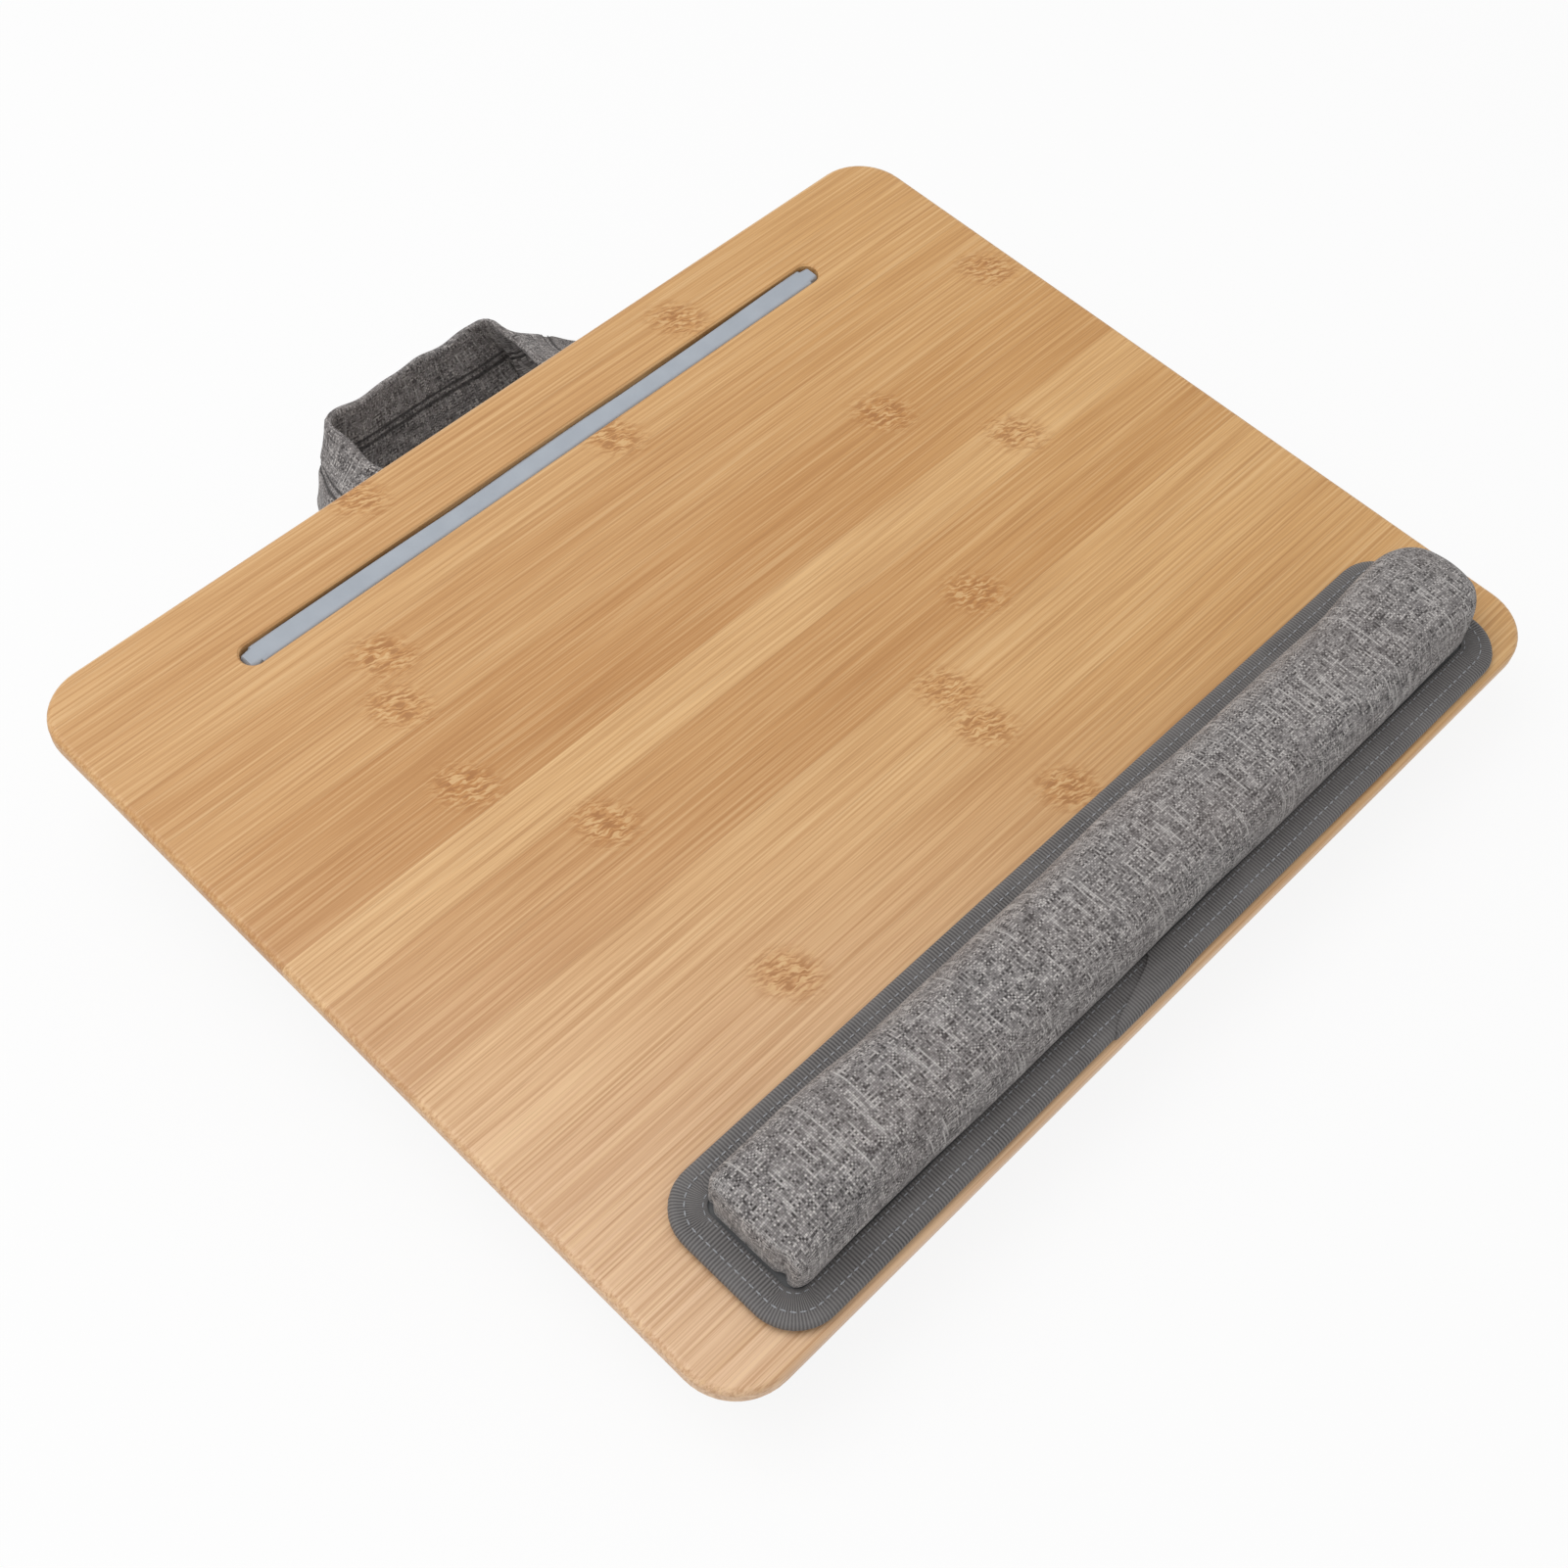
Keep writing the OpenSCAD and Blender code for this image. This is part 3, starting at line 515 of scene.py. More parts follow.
def rest_line(inset, level):
    """A line round the wrist rest's tape, with its upward directions."""
    s = np.arange(12, whole_way + 4, 1.0)
    x, y, ox, oy = on_path(rest_path, s)
    line = np.column_stack([REST_X + x - ox * inset, REST_Y + y - oy * inset, np.full(len(s), level)])
    return line, np.tile([0.0, 0.0, 1.0], (len(s), 1))


rest_stitches = join([
    sew("outer_row", *rest_line(5.0, 4.74), length=2.2, pitch=3.0, thick=0.42),
    sew("inner_row", *rest_line(10.7, 4.70), length=1.9, pitch=2.7, thick=0.32)], "rest_stitches")
lean(rest_stitches)
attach(rest_stitches, "wrist_rest")

# %% [markdown]
# ## The cushion's outline
# The cushion is a little smaller than the board. Its sides are drawn in between its corners, as
# the seams of a stuffed cushion are. The same outline serves the top panel, the band round the
# side, the foam sheet and the stuffed bolsters, so they all meet at their seams.

# %% The outline
CUSHION_WIDE, CUSHION_DEEP, DRAWN_IN = 390.0, 320.0, 4.0
CORNER_CUT = 28 * (1 - math.sqrt(0.5))
SEAM, PANEL_LOW, PANEL_TOP = -25.4, -11.4, -10.4


def drawn(along, across, half):
    return (across * half - np.sign(across) * CORNER_CUT * np.abs(along * across) ** 14
            - across * np.abs(across) ** 4 * DRAWN_IN * (1 - along**2))


def outline(u, v, margin=0.0):
    """A place on the cushion for u and v from -1 to 1."""
    return drawn(v, u, CUSHION_WIDE / 2 - margin), drawn(u, v, CUSHION_DEEP / 2 - margin)


# %% [markdown]
# ## The pale lining under the board
# The cushion's top is a smooth lining cloth. Behind the board's slot a small roll of padding
# swells up into it, and that pale swelling is what shows through the slot. The sheet is a grid
# whose rows lie closer together where the roll is.

# %% Make the lining panel
SLOT_Y, SLOT_HALF_LONG = 136.5, 139.0
SWELL_HIGH, SWELL_HALF = 9.3, 4.5
panel = cloth_grid("cushion_lining", 96, 80)
p = points(panel)
rows = np.concatenate([
    np.linspace(-160, 130, 50), np.linspace(131.5, 141.5, 25), np.linspace(143, 160, 6)])
v = np.interp((p[:, 1] + 1) / 2 * 80, np.arange(81), rows) / 160
x, y = outline(p[:, 0], v)
from_roll = np.hypot(np.maximum(np.abs(x) - SLOT_HALF_LONG, 0), y - SLOT_Y)
z = np.full(len(x), PANEL_LOW + 0.5)
steep = np.clip(1 - (from_roll / SWELL_HALF) ** 22, 0, 1) ** 0.5
z += SWELL_HIGH * steep * (1 + 0.02 * np.sin(x / 17))
lay(panel, np.column_stack([x, y, z]), np.column_stack([x, y]))
add_modifier(panel, "SOLIDIFY", thickness=0.9 * MM, offset=0)
smooth(panel, 60)
lean(panel)
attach(panel, "cushion")
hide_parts("cushion_top_panel")
print(panel.name, len(panel.data.polygons), "faces")

# %% [markdown]
# ## The band and the foam sheet
# A band of the heathered cloth runs round the side, sewn to the lining above and to the bolsters
# below, over a sheet of foam that keeps the top flat. The band bulges between its two seams and
# puckers a little at them. It is a strip laid along the outline.

# %% Make the foam sheet
FOAM_LOW, FOAM_IN = -23.4, 2.2
half_x, half_y = CUSHION_WIDE / 2, CUSHION_DEEP / 2
foam = box("cushion_foam", (-half_x, -half_y, FOAM_LOW), (half_x, half_y, PANEL_LOW - 0.2), (30, 24, 2))
p = points(foam) / MM
unfold(foam)
x, y = outline(p[:, 0] / half_x, p[:, 1] / half_y, FOAM_IN)
set_points(foam, np.column_stack([x, y, p[:, 2]]) * MM)
smooth(foam, 40)
lean(foam)
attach(foam, "cushion")
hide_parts("cushion_foam_sheet")


# %% Make the side band
def outline_path(steps):
    """Places round the outline, anticlockwise from the middle of the front, evenly spaced."""
    t = np.linspace(-1, 1, 400)
    one = np.ones(len(t))
    sides = [(t[200:], -one[200:]), (one, t), (-t, one), (-one, -t), (t[:200], -one[:200])]
    place = np.concatenate([np.column_stack(outline(u, v)) for u, v in sides])
    keep = np.concatenate([[True], np.linalg.norm(np.diff(place, axis=0), axis=1) > 1e-6])
    place = place[keep]
    place = np.vstack([place, place[:1]])
    run = lengths(place)
    s = np.linspace(0, run[-1], steps + 1)
    x, y = np.interp(s, run, place[:, 0]), np.interp(s, run, place[:, 1])
    before, after = (np.column_stack([np.interp(s + by, run, place[:, k], period=run[-1]) for k in (0, 1)])
                     for by in (-1.5, 1.5))
    ahead = after - before
    ahead /= np.linalg.norm(ahead, axis=1, keepdims=True)
    return s, x, y, ahead[:, 1], -ahead[:, 0]


BAND_STEPS, BAND_HIGH = 480, 14
s, x, y, ox, oy = outline_path(BAND_STEPS)
band = cloth_grid("cushion_band", BAND_STEPS, 8)
p = points(band)
index = np.rint((p[:, 0] + 1) / 2 * BAND_STEPS).astype(int)
rise = (p[:, 1] + 1) / 2
bulge = np.sin(math.pi * rise)
out = 0.9 * bulge ** 0.6 - 0.6 + 0.22 * np.sin(s[index] / 2.7) * (1 - bulge)
out += 0.3 * np.sin(s[index] / 37 + 1)
place = np.column_stack([x[index] + ox[index] * out, y[index] + oy[index] * out,
                         SEAM + 0.1 + (PANEL_LOW + 0.4 - SEAM - 0.1) * rise])
lay(band, place, np.column_stack([s[index], BAND_HIGH * rise]))
clean(band)
add_modifier(band, "SOLIDIFY", thickness=1.0 * MM, offset=-1)
smooth(band)
lean(band)
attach(band, "cushion")
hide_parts("cushion_side_band")
s[-1] * MM
print(band.name, "is", round(s[-1]), "mm long")

# %% [markdown]
# ## The two stuffed bolsters
# Under the desk the cushion is two long bolsters, a low one at the front and a higher one at the
# rear, with a sewn channel between them. That is why the board leans. They stand level, so this
# piece is made in the standing frame. A grid is drawn down from the seam: full in the middle of
# each bolster, and back to the seam at its sides and at the channel. It is then puffed.

# %% Shape the bolsters
CHANNEL_Y, CHANNEL_HIGH, FLAT_INTO = -18.0, 7, 0.5
FULL, SIDE_BULGE = 0.88, 18.2


def stand(x, y, z):
    """From the board's frame to the standing frame, in millimetres."""
    c, s = math.cos(LEAN), math.sin(LEAN)
    return x, y * c - z * s + LIFT[1] / MM, y * s + z * c + LIFT[2] / MM


def dense_at_ends(g):
    return np.sign(g) * (1 - (1 - np.abs(g)) ** 1.7)


bolsters = box("cushion_bolsters", (-1000, -1000, -1), (1000, 1000, 1), (71, 83, 0))
p = points(bolsters)
above = p[:, 2] > 0
u = dense_at_ends(p[:, 0])
which = np.where(p[:, 1] < -1e-4, -1.0, 1.0)
t = dense_at_ends(np.clip(p[:, 1] * 2 - which, -1, 1))
channel_v = CHANNEL_Y / (CUSHION_DEEP / 2)
v = np.where(which < 0, -1 + (channel_v + 1) * (1 + t) / 2, channel_v + (1 - channel_v) * (1 + t) / 2)
sin_u, sin_t = np.sign(u) * np.abs(u) ** 2.5, np.sign(t) * np.abs(t) ** (1 / 0.77)
cos_u, cos_t = np.sqrt(np.maximum(1 - sin_u**2, 0)), np.sqrt(np.maximum(1 - sin_t**2, 0))
x, y = outline(u, v)
sx, sy, sz = stand(x, y, np.full(len(x), SEAM))
channel_share = CHANNEL_HIGH / (stand(0, CHANNEL_Y, SEAM)[2] + FLAT_INTO)
full = cos_t**FULL
depth_t = full + channel_share * (1 - which * sin_t) / 2 * (1 - full)
share = np.where(above, 0, cos_u**FULL * depth_t)
sx = sx + np.where(above, 0, np.sign(u) * SIDE_BULGE * sin_u**2 * cos_u * depth_t)
outer = np.sign(t) * (which * t > 0)
sy = sy + np.where(above, 0, outer * SIDE_BULGE * sin_t**2 * cos_t * cos_u**FULL)
sz = sz * (1 - share) - FLAT_INTO * share
# gathers run down from the seam and out from the channel, and the flat cloth is a little wider
near_seam = near(share, 0, 0.28) * (1 - near(share, 0, 0.05))
sz += 0.9 * near_seam * (np.sin(x / 4.3 + 0.7 * np.sin(x / 29)) * (np.abs(v) > 0.9)
                         + np.sin(y / 4.3 + 0.7 * np.sin(y / 23)) * (np.abs(u) > 0.9))
beside = near(y, CHANNEL_Y, 15) * (1 - near(y, CHANNEL_Y, 2.5))
sz += np.where(above, 0, 0.8 * beside * np.sin(x / 6.1 + 0.9 * np.sin(x / 31)) * cos_u)
flat = np.column_stack([x + np.sign(u) * 30 * share * np.abs(sin_u),
                        y + which * 30 * share * np.abs(sin_t)])
lay(bolsters, np.column_stack([sx, sy, sz]), flat)
clean(bolsters)
print(bolsters.name, len(bolsters.data.polygons), "faces before they are puffed")

# %% Puff the bolsters and let them stand on their flats
p = points(bolsters) / MM
board_z = -(p[:, 1] - LIFT[1] / MM) * math.sin(LEAN) + (p[:, 2] - LIFT[2] / MM) * math.cos(LEAN)
in_channel = np.abs(p[:, 1] - stand(0, CHANNEL_Y, SEAM)[1]) < 4
puff(bolsters, (board_z > SEAM - 0.3) | in_channel | (p[:, 2] < 0.4),
     pressure=5.0, cap=5.0, stiffness=8.0, bending=0.4)
add_modifier(bolsters, "SUBSURF", levels=1, render_levels=1)
p = points(bolsters)
p[:, 2] = np.maximum(p[:, 2], 0.0)
set_points(bolsters, p)
smooth(bolsters)
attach(bolsters, "cushion")
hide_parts("bolster_cover", "front_bolster_filling", "rear_bolster_filling")
standing = int((p[:, 2] < 0.2 * MM).sum())
print(bolsters.name, len(bolsters.data.polygons), "faces, stands on", standing, "points")

# %% [markdown]
# ## The carry handle
# The handle is a strap of heathered cloth sewn round a stiff webbing. It comes out of the rear
# seam lying flat, turns up on edge, runs across behind the board and turns down again. It is a
# flat tube laid on a path that says, for each run along it, where its upper edge is, which way
# it heads and how far it has rolled. Cloth and webbing use the same path at different sizes.

# %% The handle's path
STRAP_WIDE, STRAP_THICK, HANDLE_X, HANDLE_CORNER = 40.0, 3.4, 39.0, 5.5
STRAP_MID, STRAP_SEAMS = STRAP_WIDE / 2, (18.4, 21.8)
TAB_Y = float(outline((HANDLE_X + STRAP_WIDE) / (CUSHION_WIDE / 2), 1.0)[1])
TAB_Z = SEAM + 0.9
HINGE_Y = TAB_Y + 0.8 + STRAP_THICK / 2
BOARD_REAR, REACH = 172.5, 49
BACK_Y = BOARD_REAR + REACH
LEG = BACK_Y - HANDLE_CORNER - HINGE_Y
BEND = HANDLE_CORNER * math.pi / 2
SPREAD = 3.0
HALF_RUN = LEG + BEND + HANDLE_X + SPREAD - HANDLE_CORNER


def strap_point(run, across, above):
    """Lays a point of the flat strap on its path, in the board's frame."""
    mirror = run > HALF_RUN
    r = np.where(mirror, 2 * HALF_RUN - run, run)
    turn = np.radians(90 * np.clip((r - LEG) / BEND, 0, 1))
    down_leg = np.clip(r / LEG, 0, 1)
    z = TAB_Z + 3 * down_leg
    ex = -HANDLE_X - SPREAD * down_leg + HANDLE_CORNER * (1 - np.cos(turn)) + np.maximum(r - LEG - BEND, 0)
    ey = HINGE_Y + np.minimum(r, LEG) + HANDLE_CORNER * np.sin(turn)
    # the left leg turns up on edge early, the right one lies flatter and turns at the corner
    turn_left = np.interp(r / LEG, (0, 0.4, 0.8, 1.0, 1.35), (0, 20, 62, 86, 101))
    turn_right = np.interp(r / LEG, (0, 0.5, 0.88, 0.97, 1.35), (0, 27, 50, 95, 101))
    roll_by = np.radians(np.where(mirror, turn_right, turn_left))
    # the lower edge stands out at the corners, where the cloth spreads
    from_corner = r - LEG - BEND / 2
    corner = ease(1 - np.abs(from_corner) / np.where(from_corner < 0, 26, 38))
    across = across * (1 + np.where(mirror, 0.1, 0.0) * corner)
    ex = ex - np.where(mirror, 18.0, 9.0) * corner * across / STRAP_WIDE
    out = np.cos(roll_by) * across + np.sin(roll_by) * above
    px = ex - np.cos(turn) * out
    py = ey + np.sin(turn) * out
    pz = z - np.sin(roll_by) * across + np.cos(roll_by) * above
    return np.column_stack([np.where(mirror, -px, px), py, pz])


# %% Make the strap and the webbing in it
def strap(name, wall, cuts, open_ends):
    thick = STRAP_THICK / 2 - wall
    past_end = thick * 0.9
    piece = box(name, (-past_end, wall, -thick), (2 * HALF_RUN + past_end, STRAP_WIDE - wall, thick), cuts)
    unfold(piece)
    if open_ends:
        pick(piece, "FACE", lambda middle, normal: np.abs(normal[:, 0]) > 0.9)
        bpy.ops.mesh.delete(type="FACE")
        only(piece)
    p = points(piece) / MM
    run, from_mid = p[:, 0], p[:, 1] - STRAP_MID
    edge = np.minimum(p[:, 1] - wall, STRAP_WIDE - wall - p[:, 1])
    thin = np.sqrt(np.clip(1 - (1 - np.clip(edge / 1.6, 0, 1)) ** 2, 0, 1))
    root = np.minimum(run, 2 * HALF_RUN - run)
    thin_root = np.where(root < 0, np.sqrt(np.clip(1 - (root / (thick + 0.01)) ** 2, 0.2, 1)), 1)
    above = p[:, 2] * np.maximum(thin, 0.45) * thin_root
    # the cloth is puffy beside its two lines of stitches, and its edges waver
    calm = ease(root / 25)
    puffy = 0.22 * np.cos(from_mid / STRAP_MID * math.pi * 1.5) * (np.abs(from_mid) > 2)
    above = above * (1 + calm * (puffy - 0.3 * near(from_mid, 0, 2.6)))
    above = above + calm * 0.35 * np.sin(run / 8.5 + p[:, 1] / 9) * np.abs(from_mid) / STRAP_MID
    side = np.where(from_mid < 0, -1, 1)
    waver = 0.75 * np.sin(run / 6.7 + side) + 0.45 * np.sin(run / 3.3)
    across = p[:, 1] + side * calm * waver * (from_mid / STRAP_MID) ** 2
    set_points(piece, strap_point(run, across, above) * MM)
    return piece


cover = strap("handle_strap", 0.0, (150, 30, 1), True)
clean(cover)
add_modifier(cover, "SOLIDIFY", thickness=0.5 * MM, offset=-1)
smooth(cover, 60)
webbing = strap("handle_webbing", 1.2, (90, 10, 1), False)
clean(webbing)
smooth(webbing, 60)
hinge_from = stand(0, HINGE_Y - 1.8, TAB_Z)
hinge_to = stand(0, HINGE_Y + 9.0, TAB_Z)
for piece, node, finish_slot in ((cover, "handle_strap_cover", "strap_cloth"),
                                 (webbing, "handle_webbing_core", "webbing")):
    lean(piece)
    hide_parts(node)
2 * HALF_RUN * MM
2 * HALF_RUN * MM
print("the strap is", round(2 * HALF_RUN), "mm long")


# %% Sew the strap and its ends
def strap_line(across, above):
    """A line on one face of the strap, with its directions away from the cloth."""
    run = np.arange(7, 2 * HALF_RUN - 6, 1.0)
    line, outer = (strap_point(run, np.full(len(run), across), np.full(len(run), level))
                   for level in (above, above + np.sign(above)))
    return line, outer - line


rows_of_strap = [(seam, above) for above in (1.35, -1.35) for seam in STRAP_SEAMS]
strap_stitches = join([
    sew(f"row_{k}", *strap_line(seam, above), length=2.2, pitch=3.0, thick=0.45)
    for k, (seam, above) in enumerate(rows_of_strap)], "strap_stitches")
lean(strap_stitches)
for piece in (cover, webbing, strap_stitches):
    tuple(v * MM for v in hinge_from)
    tuple(v * MM for v in hinge_to)
    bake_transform(piece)

tabs = []
for side in (-1, 1):
    low_x = HANDLE_X if side > 0 else -HANDLE_X - STRAP_WIDE
    tab = box(f"tab{side}", (low_x, TAB_Y - 11.6, TAB_Z - 0.75),
              (low_x + STRAP_WIDE, TAB_Y + 0.3, TAB_Z + 0.75), (14, 4, 0))
    unfold(tab)
    tabs.append(tab)
sewn_ends = join(tabs, "handle_ends")
add_modifier(sewn_ends, "BEVEL", width=0.5 * MM, segments=3, limit_method="ANGLE")
smooth(sewn_ends, 60)
lean(sewn_ends)
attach(sewn_ends, "cushion")
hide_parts("handle_sewn_ends")
print("handle sewn in at", [round(v, 1) for v in hinge_from])

# %% [markdown]
# ## Seams of the cushion
# Rows of small stitches hold the band to the lining and to the bolsters. They run right round.

# %% Sew the band
s, x, y, ox, oy = outline_path(900)
rows_of_band = []
for k, (level, out) in enumerate(((SEAM + 2.3, 0.25), (PANEL_LOW - 2.0, 0.22))):
    line = np.column_stack([x + ox * out, y + oy * out, np.full(len(x), level)])
    up = np.column_stack([ox, oy, np.zeros(len(x))])
    rows_of_band.append(sew(f"band_row_{k}", line, up, length=2.4, pitch=3.4, thick=0.3))
band_stitches = join(rows_of_band, "band_stitches")
lean(band_stitches)
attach(band_stitches, "cushion")

# %% [markdown]
# # Finishes
# Each finish is built from nodes and needs no picture. A colour is written as it looks on screen,
# and one function turns it into the linear numbers that the shader wants. A value that changes
# over the surface, such as a place or a noise, is kept in a small class, so that it can be added
# and multiplied like a number. Each such sign adds the Math node that does it.

# %% Colours and nodes
def linear(colour):
    """A colour such as "c79a63" as linear red, green, blue and alpha."""
    parts = [int(colour[k:k + 2], 16) / 255 for k in (0, 2, 4)]
    return tuple(c / 12.92 if c <= 0.04045 else ((c + 0.055) / 1.055) ** 2.4 for c in parts) + (1.0,)


class Value:
    """A value that changes over the surface: one output of a node."""

    def __init__(self, tree, socket):
        self.tree, self.socket = tree, socket

    def __add__(self, other):
        return calc("ADD", self, other)

    def __sub__(self, other):
        return calc("SUBTRACT", self, other)

    def __rsub__(self, other):
        return calc("SUBTRACT", other, self)

    def __mul__(self, other):
        return calc("MULTIPLY", self, other)

    def __truediv__(self, other):
        return calc("DIVIDE", self, other)


def plug(tree, term, socket):
    """Joins a value to an input of a node, or writes a number or a colour there."""
    if isinstance(term, Value):
        tree.links.new(term.socket, socket)
    elif isinstance(term, bpy.types.NodeSocket):
        tree.links.new(term, socket)
    else:
        socket.default_value = linear(term) if isinstance(term, str) else term


def put(tree, kind, inputs=None, **settings):
    """Adds a node, sets it and plugs in its inputs."""
    node = tree.nodes.new(kind)
    for key, value in settings.items():
        setattr(node, key, value)
    for key, term in (inputs or {}).items():
        plug(tree, term, node.inputs[key])
    return node


def calc(operation, *terms):
    """A Math node on values and numbers."""
    tree = next(term.tree for term in terms if isinstance(term, Value))
    node = put(tree, "ShaderNodeMath", dict(enumerate(terms)), operation=operation)
    return Value(tree, node.outputs[0])


def vector(x, y, z=0.0):
    return Value(x.tree, put(x.tree, "ShaderNodeCombineXYZ", {0: x, 1: y, 2: z}).outputs[0])


def noise(at, detail=2.0, rough=0.5):
    """Soft lumps about one unit of the given place wide."""
    node = put(at.tree, "ShaderNodeTexNoise",
               {"Vector": at, "Scale": 1.0, "Detail": detail, "Roughness": rough})
    return Value(at.tree, node.outputs["Fac"])


def mix(factor, one, other):
    """Mixes two colours. Each is a value or a written colour."""
    node = put(factor.tree, "ShaderNodeMix", {0: factor, 6: one, 7: other}, data_type="RGBA")
    return Value(factor.tree, node.outputs[2])


def between(value, low, high, to_low=0.0, to_high=1.0, kind="LINEAR"):
    """Stretches the part of a value from low to high, and holds it level outside."""
    node = put(value.tree, "ShaderNodeMapRange",
               {"Value": value, "From Min": low, "From Max": high, "To Min": to_low, "To Max": to_high},
               clamp=True, interpolation_type=kind)
    return Value(value.tree, node.outputs[0])


# %% Materials and their coordinates
def finish(name, rough, **sockets):
    """A new material with a plain shader. Values that are the same all over go on its sockets."""
    material = bpy.data.materials.new(name)
    material.use_nodes = True
    shader = material.node_tree.nodes["Principled BSDF"]
    shader.inputs["Roughness"].default_value = rough
    for key, value in sockets.items():
        shader.inputs[key.replace("_", " ")].default_value = value
    return material, shader


def paint(shader, colour, height, distance, strength):
    """Gives a shader its colour, and its bumps from a height."""
    tree = colour.tree
    plug(tree, colour, shader.inputs["Base Color"])
    bump = put(tree, "ShaderNodeBump", {"Height": height, "Strength": strength, "Distance": distance * MM})
    plug(tree, bump.outputs[0], shader.inputs["Normal"])


def dress(piece, material):
    piece.data.materials.clear()
    piece.data.materials.append(material)


def split(tree, node):
    """The three numbers of a node's vector."""
    parts = put(tree, "ShaderNodeSeparateXYZ", {0: node.outputs[0]}).outputs
    return [Value(tree, part) for part in parts]


def in_board_frame(material):
    """Object coordinates in millimetres in the board's own frame."""
    tree = material.node_tree
    c, s = math.cos(LEAN), math.sin(LEAN)
    y, z = LIFT[1] / MM, LIFT[2] / MM
    place = put(tree, "ShaderNodeTexCoord").outputs["Object"]
    return split(tree, put(tree, "ShaderNodeMapping", {
        "Vector": place, "Scale": (1000, 1000, 1000), "Rotation": (-LEAN, 0, 0),
        "Location": (0, -(y * c + z * s), y * s - z * c)}))


def on_cloth(material):
    """The cloth's own flat coordinates, in millimetres."""
    tree = material.node_tree
    flat = put(tree, "ShaderNodeUVMap", uv_map="cloth").outputs[0]
    big = put(tree, "ShaderNodeMapping", {"Vector": flat, "Scale": (1000, 1000, 1000)})
    return split(tree, big)[:2]


# %% [markdown]
# ## Bamboo
# The board is glued from bamboo strips about 21 mm wide that run from left to right. Each strip
# has its own tone. Fine brown fibres run along it, and here and there is a knot: a patch of short
# wavy strokes where the stalk had a joint. The fibres are noise drawn out a hundred times along
# the strip. The knots are listed one by one, each placed by its distance from a point. A satin lacquer
# lies over all, which gives the eye a broad soft shine and leaves the grain plain to see.

# %% Bamboo strips and fibres
STRIP, STRIP_START = 20.7, 12.0
bamboo, shader = finish("bamboo", 0.42, Coat_Weight=0.12, Coat_Roughness=0.35, Specular_IOR_Level=0.4)
X, Y, Z = in_board_frame(bamboo)
wander = noise(vector(X * 0.012, 0.0)) * 0.8
in_strips = (Y - STRIP_START + wander) / STRIP
strip = calc("FLOOR", in_strips)
along = X + strip * 137.3


def fibres(along_scale, across_scale, detail=3.0, rough=0.55):
    return noise(vector(along * along_scale, Y * across_scale, Z * across_scale), detail, rough)


fine = fibres(0.010, 1.05, rough=0.6)
middling = fibres(0.006, 0.55)
broad = fibres(0.004, 0.12, 2.0)
hairs = between(fibres(0.02, 1.7, 2.0), 0.58, 0.70)
print("bamboo strips are", STRIP, "mm wide")

# %% Bamboo tones
# each strip's own tone, from pale (1) to dark (0), from the front strip to the rear one
strip_tones = (0.75, 0.6, 0.8, 0.55, 0.5, 0.72, 0.7, 0.28, 0.36,
               0.82, 0.25, 0.3, 0.5, 0.42, 0.62, 0.5, 0.6, 0.45)
FRONT_STRIP = 9.5
ramp = put(bamboo.node_tree, "ShaderNodeValToRGB", {"Fac": (strip + FRONT_STRIP) / len(strip_tones)})
steps = ramp.color_ramp
steps.interpolation = "CONSTANT"
while len(steps.elements) < len(strip_tones):
    steps.elements.new(1.0)
for k, tone in enumerate(strip_tones):
    steps.elements[k].position = k / len(strip_tones)
    steps.elements[k].color = (tone, tone, tone, 1)
tone = Value(bamboo.node_tree, ramp.outputs[0]) * 0.8 + broad * 0.32
wood = mix(between(tone, 0.25, 0.95), "c18a50", "e9be86")
# painted light: the front left corner is painted paler and pinker, and the right side warmer, as the light
# falls on the board
painted_pale_light = between(X * -0.6 + Y * -1.0, 20.0, 280.0, kind="SMOOTHSTEP")
painted_warm_light = between(X, -40.0, 200.0, kind="SMOOTHSTEP")
for share, colour in ((painted_pale_light * 0.85, "ecc7a4"), (painted_warm_light * 0.35, "e0ae68"),
                      (between(middling, 0.38, 0.70, 0.0, 0.42), "b27d47"),
                      (between(fine, 0.48, 0.66, 0.0, 0.42), "a8713c"),
                      (between(fine, 0.50, 0.34, 0.0, 0.32), "f2cf9c"),
                      (hairs * 0.30, "96622f")):
    wood = mix(share, wood, colour)

# %% Bamboo knots
knots = ((-68, 167), (83, 153), (22, 125), (-107, 105), (-117, 85), (196, 89), (107, 64), (-122, 44),
         (137, 22), (-98, 1), (67, -19), (27, -41), (25, -60), (-95, -81), (27, -98))
KNOT_LONG, KNOT_WIDE, KNOT_SLANT = 12.0, 13.5, 0.25
here = vector((Y * KNOT_SLANT + X) / KNOT_LONG, Y / KNOT_WIDE)
nearest = None
for kx, ky in knots:
    middle = ((kx + KNOT_SLANT * ky) / KNOT_LONG, ky / KNOT_WIDE, 0)
    node = put(here.tree, "ShaderNodeVectorMath", {0: here, 1: middle}, operation="DISTANCE")
    gap = Value(here.tree, node.outputs["Value"])
    nearest = gap if nearest is None else calc("MINIMUM", nearest, gap)
patch = between(nearest, 1.2, 0.3, kind="SMOOTHSTEP")
twist = (noise(vector(X * 0.22, Y * 0.3)) - 0.5) * 4.5
strokes = noise(vector((X + twist) * 0.20, (X * 0.35 + Y + twist) * 0.85), 1.5)
marks = patch * between(strokes, 0.50, 0.58)
glue = between(calc("ABSOLUTE", calc("FRACT", in_strips) - 0.5), 0.488, 0.5)
for share, colour in ((patch * 0.42, "c0813f"), (marks * 0.60, "99622f"),
                      (patch * between(strokes, 0.47, 0.40, 0.0, 0.5), "ecc993"),
                      (glue * 0.28, "96683c")):
    wood = mix(share, wood, colour)
plug(bamboo.node_tree, between(fine, 0.3, 0.7, 0.38, 0.5), shader.inputs["Roughness"])
paint(shader, wood, fine - marks * 0.3, 0.05, 0.5)
